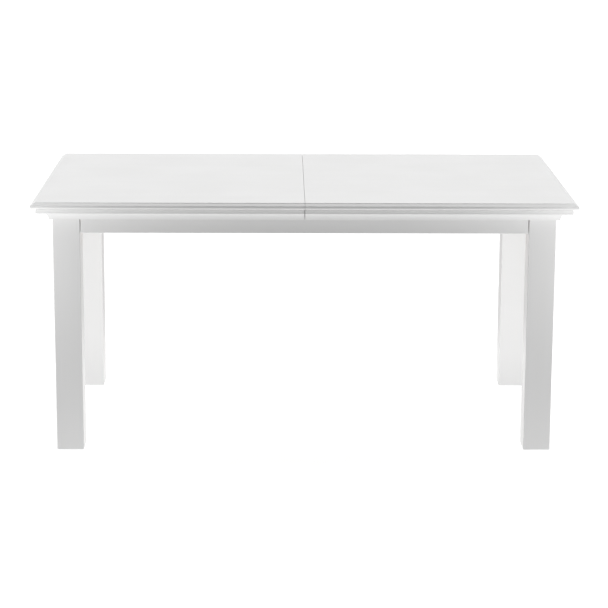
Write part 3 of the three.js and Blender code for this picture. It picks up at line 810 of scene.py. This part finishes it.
class BallTree:
    """A Geometry Nodes tree for the two rows of balls along a cage."""

    def __init__(self) -> None:
        """Builds the tree, with named inputs for its sizes."""
        self.group = bpy.data.node_groups.new("ball_rows", "GeometryNodeTree")
        tree = Tree(self.group)
        faces = self.group.interface
        faces.new_socket("Geometry", in_out="INPUT", socket_type="NodeSocketGeometry")
        sockets = {"Pitch": "Float", "Radius": "Float", "Count": "Int", "Material": "Material"}
        self.inputs = {
            name: faces.new_socket(name, in_out="INPUT", socket_type=f"NodeSocket{kind}").identifier
            for name, kind in sockets.items()
        }
        faces.new_socket("Geometry", in_out="OUTPUT", socket_type="NodeSocketGeometry")
        given = tree.add("NodeGroupInput").socket.node.outputs
        pick = {name: Link(tree, given[name]) for name in ("Geometry", *sockets)}
        step = tree.add("ShaderNodeCombineXYZ", None, {"X": pick["Pitch"]})
        line = tree.add("GeometryNodeMeshLine", {"mode": "OFFSET"}, {"Count": pick["Count"], "Offset": step})
        sphere = {"Radius": pick["Radius"], "Subdivisions": BALL_DETAIL}
        ball = tree.add("GeometryNodeMeshIcoSphere", None, sphere)
        row = tree.add("GeometryNodeInstanceOnPoints", None, {"Points": line, "Instance": ball})
        rows = tree.add("GeometryNodeInstanceOnPoints", None, {"Points": pick["Geometry"], "Instance": row})
        real = tree.add("GeometryNodeRealizeInstances", None, {"Geometry": rows})
        dressed = tree.add("GeometryNodeSetMaterial", None, {"Geometry": real, "Material": pick["Material"]})
        tree.add("NodeGroupOutput", None, {0: dressed})

    def rows(
        self, name: str, starts: Sequence[tuple], pitch: float, radius: float, count: int
    ) -> bpy.types.Object:
        """Rows of balls along X.

        Args:
            name: Name of the piece.
            starts: The middle of the first ball of each row.
            pitch: From one ball to the next.
            radius: Radius of a ball.
            count: Number of balls in a row.

        Returns:
            One plain mesh with every ball.
        """
        data = bpy.data.meshes.new(name)
        data.from_pydata(list(starts), [], [])
        piece = bpy.data.objects.new(name, data)
        bpy.context.scene.collection.objects.link(piece)
        modifier = piece.modifiers.new("balls", "NODES")
        modifier.node_group = self.group
        values = {"Pitch": pitch, "Radius": radius, "Count": count, "Material": ZINC.material()}
        for key, value in values.items():
            modifier[self.inputs[key]] = value
        bpy.context.view_layer.update()
        settle(piece)
        for polygon in piece.data.polygons:
            polygon.use_smooth = True
        return piece


# ---- The top ----
@dataclass
class EdgeProfile:
    """The moulded edge of a board, from its flat face down to its back."""

    flat_inset: float = 11.5 * MM
    quirk_inset: float = 11.3 * MM
    quirk_drop: float = 1.3 * MM
    slope_inset: float = 11.0 * MM
    slope_drop: float = 1.6 * MM
    slope_angle: float = 30.0
    nose_radius: float = 1.8 * MM
    face_end: float = 12.2 * MM
    undercut: float = 5.0 * MM
    thickness: float = 18.0 * MM
    nose_steps: int = 8
    under_steps: int = 10

    def points(self) -> Outline:
        """[inset, drop] points of the edge.

        Returns:
            The quirk, the falling slope, the rounded nose and the curve that runs under.
        """
        slope = math.radians(self.slope_angle)
        radius = self.nose_radius
        run = self.slope_inset - radius * (1 - math.sin(slope))
        middle = self.slope_drop + run * math.tan(slope) + radius * math.cos(slope)
        nose = arc((radius, middle), (radius, radius), 270 - self.slope_angle, 180, self.nose_steps)
        curve = (self.undercut, self.thickness - self.face_end)
        under = arc((self.undercut, self.face_end), curve, 180, 90, self.under_steps)
        quirk = [(self.flat_inset, 0.0), (self.quirk_inset, self.quirk_drop)]
        return [*quirk, (self.slope_inset, self.slope_drop), *nose, *under]


@dataclass
class MouldingProfile:
    """The moulding under the edge: a torus above a shallow cove."""

    torus_inset: float = 14.3 * MM
    torus_height: float = 17.0 * MM
    torus_radius: float = 6.5 * MM
    torus_foot: float = 3.5 * MM
    cove_inset: float = 40.0 * MM
    cove_face: float = 1.5 * MM
    cove_angles: tuple = (-36.0, -10.0)
    back: float = 56.5 * MM
    steps: int = 8
    foot_steps: int = 6

    def points(self, height: float) -> Outline:
        """[inset, drop] points of the closed section.

        Args:
            height: Height of the whole moulding.

        Returns:
            The section, from its top at the back, round its face, to its foot.
        """
        upper, lower = self.torus_radius, self.torus_foot
        heel = self.torus_height - lower
        start, end = self.cove_angles
        rise = math.sin(math.radians(end)) - math.sin(math.radians(start))
        radius = (height - self.torus_height - self.cove_face) / rise
        across = self.cove_inset - radius * math.cos(math.radians(start))
        down = height - radius * math.sin(math.radians(end))
        return [
            (self.back, 0.0),
            *arc((self.torus_inset + upper, upper), (upper, upper), 270, 180, self.steps),
            *arc((self.torus_inset + lower, heel), (lower, lower), 180, 90, self.foot_steps),
            (self.cove_inset, self.torus_height),
            *arc((across, down), (radius, radius), start, end, self.steps),
            (self.back, height),
        ]


@dataclass
class TopHalf:
    """One sliding half of the top: its board, its three mouldings, its rails and its dowels."""

    side: Side
    edge: EdgeProfile
    moulding: MouldingProfile
    easing: float = 0.45 * MM
    mitre_gap: float = 0.15 * MM
    seam_trim: float = 0.55 * MM
    hole_clearance: float = 0.4 * MM
    hole_end: float = 1.5 * MM
    hole_sides: int = 32
    rail_easing: float = 0.6 * MM

    @property
    def body(self) -> str:
        """The CAD body of this half."""
        return f"{word(self.side)}_top"

    def node(self, stem: str) -> str:
        """The name of a node or a piece of this half."""
        return f"{stem}_{word(self.side)}"

    def plan(self, x_inset: float, y_inset: float, y_sign: int, z: float) -> Vector:
        """A point near an outer corner of the board.

        Args:
            x_inset: Its distance in from the end.
            y_inset: Its distance in from the long edge.
            y_sign: -1 for the front edge, 1 for the back one.
            z: Its level.

        Returns:
            The point.
        """
        low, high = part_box(self.node("tabletop"))
        outer = low.x if self.side is Side.LEFT else high.x
        return Vector((outer - self.side.value * x_inset, y_sign * (high.y - y_inset), z))

    def seam(self) -> float:
        """The x of the face at the seam."""
        low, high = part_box(self.node("tabletop"))
        return high.x if self.side is Side.LEFT else low.x

    def paint_seam_shade(self, piece: bpy.types.Object) -> None:
        """Gives the faces at the seam the second material, the near-black painted shade of the narrow gap
        between the halves.

        Args:
            piece: A board or a moulding of this half.
        """
        seam = self.seam()
        for polygon in piece.data.polygons:
            at_seam = abs(polygon.center.x - seam) < 2 * self.seam_trim
            polygon.material_index = int(at_seam and abs(polygon.normal.x) > FACING)

    def board(self) -> None:
        """The board, with its moulded edge mitred round three sides and holes at the seam."""
        shape = Shape()
        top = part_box(self.node("tabletop"))[1].z
        grid = []
        for inset, drop in self.edge.points():
            path = []
            for sign in (-1, 1):
                outer = self.plan(inset, inset, sign, top - drop)
                inner = Vector((self.seam(), outer.y, outer.z))
                path += [inner, outer] if sign < 0 else [outer, inner]
            grid.append([shape.mesh.verts.new(point) for point in path])
        for near, far in zip(grid, grid[1:]):
            for i in range(3):
                shape.mesh.faces.new((near[i], near[i + 1], far[i + 1], far[i]))
        shape.mesh.faces.new(grid[0])
        shape.mesh.faces.new(grid[-1][::-1])
        shape.mesh.faces.new([row[0] for row in grid] + [row[-1] for row in grid[::-1]])
        piece = shape.object(self.node("top_board"))
        seam = self.seam()
        for face in Face:
            low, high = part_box(f"seam_dowel_{word(face)}")
            start = low.x - self.hole_end if self.side is Side.LEFT else seam - PAST
            end = seam + PAST if self.side is Side.LEFT else high.x + self.hole_end
            middle = (low + high) / 2
            radius = (high.z - low.z) / 2 + self.hole_clearance
            turn = Matrix.Translation((start, middle.y, middle.z)) @ Matrix.Rotation(math.pi / 2, 4, "Y")
            outline = [(0.0, 0.0), (radius, 0.0), (radius, end - start), (0.0, end - start)]
            cut(piece, Shape().revolve(outline, self.hole_sides, turn).object("drill"))
        ease(piece, self.easing)
        self.paint_seam_shade(piece)
        hand_over(piece, self.body, LACQUER, Grain.ALONG, [self.node("tabletop")], [SEAM_SHADE_PAINT])

    def mouldings(self) -> None:
        """The front, back and end mouldings, mitred where they meet."""
        low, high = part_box(self.node("moulding_end"))
        section = self.moulding.points(high.z - low.z)
        gap = self.mitre_gap * math.sqrt(2)
        trimmed = self.seam() + self.side.value * self.seam_trim
        for face in Face:
            rings = []
            for at_seam in (True, False):
                ring = []
                for inset, drop in section:
                    point = self.plan(inset + gap, inset, face.value, high.z - drop)
                    ring.append(Vector((trimmed, point.y, point.z)) if at_seam else point)
                rings.append(ring)
            name = f"{word(face)}_moulding_{word(self.side)}"
            piece = ease(Shape().skin(rings).object(name), self.easing)
            self.paint_seam_shade(piece)
            node = f"moulding_{word(face)}_{word(self.side)}"
            hand_over(piece, self.body, LACQUER, Grain.ALONG, [node], [SEAM_SHADE_PAINT])
        rings = [
            [self.plan(inset, inset + gap, face.value, high.z - drop) for inset, drop in section]
            for face in Face
        ]
        piece = ease(Shape().skin(rings).object(self.node("end_moulding")), self.easing)
        hand_over(piece, self.body, LACQUER, Grain.ACROSS, [self.node("moulding_end")])

    def build(self) -> None:
        """Builds every piece of this half."""
        self.board()
        self.mouldings()
        for face in Face:
            node = f"slide_rail_{word(face)}_{word(self.side)}"
            from_node(node, f"{node}_pressed", self.body, ZINC, Grain.ALONG, self.rail_easing)
        if self.side is Side.LEFT:
            for face in Face:
                fluted_dowel(f"seam_dowel_{word(face)}", self.body)


def fluted_dowel(
    node: str, body: str, flutes: int = 12, depth: float = 0.35 * MM, chamfer: float = 1.2 * MM
) -> None:
    """A beech dowel with flutes along it and chamfered ends, in place of a CAD one.

    Args:
        node: The CAD node that it stands for.
        body: The body that it rides on.
        flutes: Number of flutes.
        depth: Depth of each flute.
        chamfer: Width of the chamfer at each end.
    """
    low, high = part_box(node)
    middle = (low + high) / 2
    radius = (high.z - low.z) / 2
    small = radius - chamfer
    stations = [(low.x, small), (low.x + chamfer, radius), (high.x - chamfer, radius), (high.x, small)]
    count = flutes * FLUTE_POINTS
    rings = []
    for x, size in stations:
        ring = []
        for i in range(count):
            angle = math.tau * i / count
            reach = size - depth * (0.5 + 0.5 * math.cos(flutes * angle))
            ring.append(Vector((x, middle.y + reach * math.cos(angle), middle.z + reach * math.sin(angle))))
        rings.append(ring)
    piece = smooth(Shape().skin(rings).object(f"{node}_fluted"), FLUTE_SHARP)
    hand_over(piece, body, WOOD, Grain.ALONG, [node])


# ---- The frame ----
@dataclass
class LegFrame:
    """The legs, aprons, glides, braces and bearers, which never move."""

    fasteners: Fasteners
    leg_radius: float = 2.0 * MM
    leg_easing: float = 0.6 * MM
    corner_steps: int = 6
    foot_chamfer: float = 3.0 * MM
    glide_rim: float = 0.3 * MM
    glide_dome: float = 0.8
    glide_nail: tuple = (0.34, 0.26, 0.45)
    glide_easing: float = 0.15 * MM
    glide_sides: int = 40
    apron_segments: int = 4
    apron_easing: float = 1.2 * MM
    apron_trim: float = 0.45 * MM
    brace_easing: float = 1.5 * MM
    bolt_spread: float = 13.0 * MM
    screw_inset: float = 16.0 * MM
    screw_levels: tuple = (0.28, 0.72)
    body: str = "frame"

    def leg(self, corner: str) -> None:
        """A square leg with rounded corners and a chamfered foot.

        Args:
            corner: The corner of the table that it stands at.
        """
        low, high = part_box(f"leg_{corner}")
        middle = (low + high) / 2
        half = (high.x - low.x) / 2
        rings = []
        foot = half - self.foot_chamfer
        for size, z in ((foot, low.z), (half, low.z + self.foot_chamfer), (half, high.z)):
            flat = size - self.leg_radius
            ring = []
            for turn, (sx, sy) in enumerate(((1, 1), (-1, 1), (-1, -1), (1, -1))):
                centre = (middle.x + sx * flat, middle.y + sy * flat)
                radii = (self.leg_radius, self.leg_radius)
                corner_arc = arc(centre, radii, 90 * turn, 90 * turn + 90, self.corner_steps)
                ring += [Vector((x, y, z)) for x, y in corner_arc]
            rings.append(ring)
        piece = ease(Shape().skin(rings).object(f"{corner}_leg"), self.leg_easing)
        hand_over(piece, self.body, LACQUER, Grain.UPRIGHT, [f"leg_{corner}"])

    def glide(self, corner: str) -> None:
        """A domed nylon glide with a sunk middle for its nail.

        Args:
            corner: The corner of the table that it is at.
        """
        low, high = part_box(f"glide_{corner}")
        middle = (low + high) / 2
        radius = (high.x - low.x) / 2
        thick = high.z - low.z
        dome = thick * self.glide_dome
        mouth, seat, depth = self.glide_nail
        outline = [(0.0, thick), (radius - self.glide_rim, thick), (radius, thick - self.glide_rim)]
        outline += arc((radius - dome, dome), (dome, dome), 0, -90, self.corner_steps)
        outline += [(radius * mouth, 0.0), (radius * seat, thick * depth), (0.0, thick * depth)]
        place = Matrix.Translation((middle.x, middle.y, low.z))
        shape = Shape().revolve(outline, self.glide_sides, place)
        piece = ease(shape.object(f"{corner}_glide"), self.glide_easing)
        hand_over(piece, self.body, NYLON, Grain.ALONG, [f"glide_{corner}"])

    def apron(self, where: str) -> None:
        """A rail between two legs, with eased arrises and near-black ends that are painted shade of the gap
        at each leg.

        Args:
            where: The side of the table that it runs along.
        """
        low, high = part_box(f"apron_{where}")
        grain = Grain.ALONG if high.x - low.x > high.y - low.y else Grain.ACROSS
        length = Vector((1.0, 0.0, 0.0)) if grain is Grain.ALONG else Vector((0.0, 1.0, 0.0))
        trim = length * self.apron_trim
        shape = Shape().block(low + trim, high - trim)
        piece = ease(shape.object(f"{where}_apron"), self.apron_easing, self.apron_segments)
        # The end faces get the second material: the near-black painted shade of the gap between the apron and
        # the leg.
        for polygon in piece.data.polygons:
            polygon.material_index = int(abs(polygon.normal.dot(length)) > FACING)
        hand_over(piece, self.body, LACQUER, grain, [f"apron_{where}"], [SEAM_SHADE_PAINT])

    def brace(self, side: Side, face: Face) -> tuple[list[Spot], list[Spot]]:
        """A diagonal corner brace.

        Args:
            side: Which end of the table it is at.
            face: Which long face it is near.

        Returns:
            The spots of its two bolts, and those of its four screws.
        """
        corner = f"{word(face)}_{word(side)}"
        node = f"corner_brace_{corner}"
        from_node(node, f"{corner}_corner_brace", self.body, WOOD, Grain.ALONG, self.brace_easing)
        low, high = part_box(node)
        sx, sy = side.value, face.value
        near = Vector((low.x if sx > 0 else high.x, high.y if sy > 0 else low.y, 0.0))
        far = Vector((high.x if sx > 0 else low.x, low.y if sy > 0 else high.y, 0.0))
        along_face = (far - near).normalized()
        inward = Vector((-sx, -sy, 0.0)).normalized()
        z = (low.z + high.z) / 2
        middle = (near + far) / 2
        bolts = []
        for offset in (-self.bolt_spread, self.bolt_spread):
            place = Vector((middle.x, middle.y, z + offset))
            bolts.append(Spot(tuple(place), tuple(inward)))
        screws = []
        for start, sign in ((near, 1), (far, -1)):
            for level in self.screw_levels:
                place = start + along_face * sign * self.screw_inset
                screws.append(Spot((place.x, place.y, low.z + (high.z - low.z) * level), tuple(inward)))
        return bolts, screws

    def build(self) -> None:
        """Builds the whole frame and its fasteners."""
        bolts: list[Spot] = []
        screws: list[Spot] = []
        for face in Face:
            for side in Side:
                corner = f"{word(face)}_{word(side)}"
                self.leg(corner)
                self.glide(corner)
                more_bolts, more_screws = self.brace(side, face)
                bolts += more_bolts
                screws += more_screws
        for where in (*Face, *Side):
            self.apron(word(where))
        for side in Side:
            node = f"cross_bearer_{word(side)}"
            from_node(node, f"{word(side)}_bearer", self.body, WOOD, Grain.ACROSS, self.brace_easing)
        self.fasteners.put("corner_bolts", bolts, self.fasteners.nut, self.body)
        self.fasteners.put("corner_screws", screws, self.fasteners.pan, self.body)


# ---- The slides ----
@dataclass
class Slides:
    """The two fixed tracks and the four ball cages in them."""

    ball_pitch: float = 11.0 * MM
    ball_radius: float = 1.9 * MM
    ball_drop: float = 3.2 * MM
    ball_inset: float = 0.6 * MM
    fold_radius: float = 0.7 * MM
    cage_easing: float = 0.25 * MM

    def build(self) -> None:
        """Builds the tracks, the cages and their balls."""
        balls = BallTree()
        for face in Face:
            node = f"slide_track_{word(face)}"
            from_node(node, f"{word(face)}_track", "frame", ZINC, Grain.ALONG, self.fold_radius)
            for side in Side:
                cage = f"ball_cage_{word(face)}_{word(side)}"
                body = f"{word(side)}_cages"
                name = f"{word(face)}_{word(side)}"
                from_node(cage, f"{name}_cage", body, CAGE, Grain.ALONG, self.cage_easing)
                low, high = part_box(cage)
                count = int((high.x - low.x) / self.ball_pitch) - 1
                margin = (high.x - low.x - (count - 1) * self.ball_pitch) / 2
                level = high.z - self.ball_drop
                edges = (low.y + self.ball_inset, high.y - self.ball_inset)
                starts = [(low.x + margin, y, level) for y in edges]
                piece = balls.rows(f"{name}_balls", starts, self.ball_pitch, self.ball_radius, count)
                hand_over(piece, body, ZINC)


# ---- The stored leaf ----
@dataclass
class StoredLeaf:
    """The folded leaf, its hinges, its pivots and what it rests on."""

    fasteners: Fasteners
    body: str = "frame"
    board_easing: float = 0.45 * MM
    plate_easing: float = 0.5 * MM
    link_easing: float = 0.6 * MM
    cup_easing: float = 0.4 * MM
    saddle_easing: float = 0.8 * MM
    rest_easing: float = 1.2 * MM
    cup_screw_inset: float = 5.5 * MM
    plate_thickness: float = 2.5 * MM
    plate_screws: tuple = (11.0 * MM, 31.0 * MM)
    plate_screw_inset: float = 8.0 * MM
    rest_screws: tuple = (0.2, 0.5, 0.8)

    def halves(self) -> None:
        """The two boards, show face to show face, with their dowels."""
        for half in ("lower", "upper"):
            name = f"{half}_leaf_board"
            from_node(f"leaf_{half}_half", name, self.body, LACQUER, Grain.ALONG, self.board_easing)
            fluted_dowel(f"leaf_dowel_{half}", self.body)

    def hinges(self) -> list[Spot]:
        """The concealed hinges.

        Returns:
            The spots of the small screws at the ends of each cup.
        """
        spots = []
        for side in Side:
            stem = f"leaf_hinge_{word(side)}"
            name = f"{word(side)}_hinge_link"
            from_node(f"{stem}_link", name, self.body, ZINC, Grain.UPRIGHT, self.link_easing)
            for half in ("lower", "upper"):
                node = f"{stem}_{half}_cup"
                name = f"{word(side)}_{half}_hinge_cup"
                from_node(node, name, self.body, ZINC, Grain.ALONG, self.cup_easing)
                low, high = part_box(node)
                for x in (low.x + self.cup_screw_inset, high.x - self.cup_screw_inset):
                    spots.append(Spot((x, high.y, (low.z + high.z) / 2), (0.0, 1.0, 0.0)))
        return spots

    def pivots(self) -> list[Spot]:
        """The pin plates and saddles.

        Returns:
            The spots of the screws through each plate.
        """
        spots = []
        for side in Side:
            pin = f"leaf_pivot_pin_{word(side)}"
            from_node(pin, f"{word(side)}_pivot_pin", self.body, ZINC, Grain.ALONG, self.plate_easing)
            saddle = f"leaf_pivot_saddle_{word(side)}"
            name = f"{word(side)}_pivot_saddle"
            from_node(saddle, name, self.body, NYLON, Grain.ACROSS, self.saddle_easing)
            low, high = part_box(pin)
            leaf_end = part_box("leaf_upper_half")[1].x
            plate_top = low.z + self.plate_thickness
            for back in self.plate_screws:
                for y in (low.y + self.plate_screw_inset, high.y - self.plate_screw_inset):
                    spots.append(Spot((side.value * (leaf_end - back), y, plate_top), (0.0, 0.0, 1.0)))
        return spots

    def rests(self) -> list[Spot]:
        """The two rests.

        Returns:
            The spots of the screws into each bearer.
        """
        spots = []
        for side in Side:
            node = f"leaf_rest_{word(side)}"
            from_node(node, f"{word(side)}_leaf_rest", self.body, WOOD, Grain.ACROSS, self.rest_easing)
            low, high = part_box(node)
            inner = low.x if side is Side.RIGHT else high.x
            for share in self.rest_screws:
                y = low.y + (high.y - low.y) * share
                spots.append(Spot((inner, y, (low.z + high.z) / 2), (-side.value, 0.0, 0.0)))
        return spots

    def build(self) -> None:
        """Builds the leaf and its fittings."""
        self.halves()
        self.fasteners.put("hinge_screws", self.hinges(), self.fasteners.flat, self.body)
        self.fasteners.put("pivot_screws", self.pivots(), self.fasteners.pan, self.body)
        self.fasteners.put("rest_screws", self.rests(), self.fasteners.pan, self.body)


# ---- The locks ----
@dataclass
class TopLock:
    """A lever lock that holds the two halves of the top together under the seam."""

    face: Face
    fasteners: Fasteners
    plate_easing: float = 0.5 * MM
    plate_thickness: float = 2.0 * MM
    screw_inset: tuple = (6.0 * MM, 5.0 * MM)

    def plate_screws(self, node: str, outer: Side) -> list[Spot]:
        """Two screws near the end of a plate that is away from the seam.

        Args:
            node: The plate's CAD node.
            outer: Which way that end points.

        Returns:
            The spots of the screws.
        """
        low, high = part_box(node)
        x = low.x + self.screw_inset[0] if outer is Side.LEFT else high.x - self.screw_inset[0]
        level = high.z - self.plate_thickness
        return [
            Spot((x, y, level), (0.0, 0.0, -1.0))
            for y in (low.y + self.screw_inset[1], high.y - self.screw_inset[1])
        ]

    def build(self) -> None:
        """Builds the base, the keeper and the lever, then the screws of both plates."""
        name = word(self.face)
        plates = (("base", Side.LEFT), ("keeper", Side.RIGHT))
        for part, outer in plates:
            node, body = f"lock_{part}_{name}", f"{word(outer)}_top"
            from_node(node, f"{name}_lock_{part}", body, ZINC, Grain.ALONG, self.plate_easing)
        lever, body = f"lock_lever_{name}", f"{name}_lever"
        from_node(lever, f"{name}_lock_lever", body, BRASS, Grain.ACROSS, self.plate_easing)
        for part, outer in plates:
            spots = self.plate_screws(f"lock_{part}_{name}", outer)
            self.fasteners.put(f"{name}_{part}_screws", spots, self.fasteners.pan, f"{word(outer)}_top")


# ---- The studio ----
@dataclass
class Studio:
    """A white floor that glows a little, soft lights above and off each corner, and the camera."""

    camera_place: tuple = (-0.0669, -6.2128, 1.8695)
    pitch: float = 11.92
    yaw: float = -0.64
    roll: float = 0.25
    lens: float = 119.4
    shift_y: float = -0.1
    sensor: float = 36.0
    sight: float = 200.0
    floor_reach: float = 60.0
    floor_drop: float = 0.1 * MM
    near_glow: float = 1.28
    far_glow: float = 0.68
    near_reach: tuple = (1.9, 1.3)
    near_edge: tuple = (0.6, 1.1)
    floor_colour: tuple = (0.35, 0.35, 0.35, 1.0)
    seen_glow: float = 0.88
    room: float = 0.03
    seen_room: float = 1.0
    overhead_angle: float = 35.0
    overhead_tilt: float = -20.0
    overhead_power: float = 2.92
    corner_place: tuple = (1.05, 0.74, 0.66)
    corner_size: float = 0.40
    corner_power: float = 1.38
    corner_aim: tuple = (0.5, 0.75)
    inner_place: tuple = (0.70, 0.05, 0.32)
    inner_size: float = 0.62
    inner_power: float = 0.27
    inner_spread: float = 75.0

    def floor(self) -> None:
        """A plain pale floor just under the glides, brighter near the table and clear from beneath."""
        reach = self.floor_reach
        shape = Shape()
        corners = ((-reach, -reach), (reach, -reach), (reach, reach), (-reach, reach))
        shape.mesh.faces.new([shape.mesh.verts.new((x, y, -self.floor_drop)) for x, y in corners])
        made = shape.object("studio_floor")
        material = bpy.data.materials.new("studio_floor")
        material.use_nodes = True
        tree = Tree(material.node_tree)
        white = {"Color": (1.0, 1.0, 1.0, 1.0)}
        place = tree.add("ShaderNodeTexCoord", output="Object")
        reach_x, reach_y = self.near_reach
        scaled = tree.stretched(place, (1 / reach_x, 1 / reach_y, 0.0))
        away = tree.add("ShaderNodeVectorMath", {"operation": "LENGTH"}, {0: scaled}, "Value")
        glow = tree.between(away, *self.near_edge, self.near_glow, self.far_glow)
        light = tree.add("ShaderNodeEmission", None, {**white, "Strength": glow})
        paper = tree.add("ShaderNodeBsdfDiffuse", None, {"Color": self.floor_colour})
        sheen = tree.add("ShaderNodeEmission", None, {**white, "Strength": self.seen_glow})
        seen = tree.add("ShaderNodeAddShader", None, {0: paper, 1: sheen})
        behind = tree.add("ShaderNodeNewGeometry", output="Backfacing")
        clear = tree.add("ShaderNodeBsdfTransparent")
        from_above = tree.add("ShaderNodeMixShader", None, {0: behind, 1: seen, 2: clear})
        ray = tree.add("ShaderNodeLightPath", output="Is Camera Ray")
        surface = tree.add("ShaderNodeMixShader", None, {0: ray, 1: light, 2: from_above})
        tree.add("ShaderNodeOutputMaterial", None, {"Surface": surface})
        made.data.materials.append(material)

    def room_light(self) -> None:
        """A dim room that is seen and mirrored as plain white."""
        world = bpy.data.worlds.new("room")
        bpy.context.scene.world = world
        world.use_nodes = True
        tree = Tree(world.node_tree)
        ray = tree.add("ShaderNodeLightPath", output="Is Diffuse Ray")
        strength = tree.between(ray, 0.0, 1.0, self.seen_room, self.room)
        seen = tree.add("ShaderNodeBackground", None, {"Color": (1.0, 1.0, 1.0, 1.0), "Strength": strength})
        tree.add("ShaderNodeOutputWorld", None, {"Surface": seen})

    def panel(
        self, name: str, place: Sequence[float], aim: Sequence[float], size: float, power: float
    ) -> bpy.types.AreaLight:
        """A square soft light that isn't seen or mirrored.

        Args:
            name: Its name.
            place: Where it is.
            aim: The point that it faces.
            size: Length of its sides.
            power: Its power.

        Returns:
            The light's data.
        """
        data = bpy.data.lights.new(name, "AREA")
        data.shape = "SQUARE"
        data.size = size
        data.energy = power
        made = bpy.data.objects.new(name, data)
        made.location = place
        made.rotation_euler = (Vector(aim) - Vector(place)).to_track_quat("-Z", "Y").to_euler()
        made.visible_camera = False
        made.visible_glossy = False
        bpy.context.scene.collection.objects.link(made)
        return data

    def light(self) -> None:
        """The room, the overhead light, a light off each corner and a narrow one for each leg's inside."""
        self.room_light()
        data = bpy.data.lights.new("overhead", "SUN")
        data.angle = math.radians(self.overhead_angle)
        data.energy = self.overhead_power
        overhead = bpy.data.objects.new("overhead", data)
        overhead.rotation_euler = (math.radians(self.overhead_tilt), 0.0, 0.0)
        overhead.visible_glossy = False
        bpy.context.scene.collection.objects.link(overhead)
        for side in Side:
            for face in Face:
                stem = f"{word(face)}_{word(side)}"
                x, y, z = self.corner_place
                place = (side.value * x, face.value * y, z)
                aim = (side.value * x * self.corner_aim[0], 0.0, z * self.corner_aim[1])
                self.panel(f"{stem}_light", place, aim, self.corner_size, self.corner_power)
                x, y, z = self.inner_place
                place = (side.value * x, -face.value * y, z)
                aim = (side.value * x, face.value, z)
                narrow = self.panel(f"{stem}_inner_light", place, aim, self.inner_size, self.inner_power)
                narrow.spread = math.radians(self.inner_spread)

    def camera(self) -> None:
        """The camera, a little above the table and some six metres in front of it."""
        data = bpy.data.cameras.new("camera")
        data.sensor_width = self.sensor
        data.lens = self.lens
        data.shift_y = self.shift_y
        data.clip_end = self.sight
        made = bpy.data.objects.new("camera", data)
        turns = ((self.yaw, "Z"), (90 - self.pitch, "X"), (self.roll, "Z"))
        made.matrix_world = Matrix.Translation(self.camera_place)
        for angle, axis in turns:
            made.matrix_world = made.matrix_world @ Matrix.Rotation(math.radians(angle), 4, axis)
        bpy.context.scene.collection.objects.link(made)
        bpy.context.scene.camera = made

    def build(self) -> None:
        """Sets the stage."""
        self.floor()
        self.light()
        self.camera()
        bpy.context.scene.view_settings.view_transform = "Standard"


def main() -> None:
    """Builds every sub-assembly around the frame."""
    logging.basicConfig(level=logging.INFO, format="%(asctime)s %(message)s")
    fasteners = Fasteners()
    edge = EdgeProfile()
    moulding = MouldingProfile()
    parts = [TopHalf(side, edge, moulding) for side in Side]
    parts += [LegFrame(fasteners), Slides(), StoredLeaf(fasteners)]
    parts += [TopLock(face, fasteners) for face in Face]
    for part in parts:
        log.info("building %s", type(part).__name__)
        part.build()
    fasteners.clear()
    Studio().build()


if __name__ == "__main__":
    main()
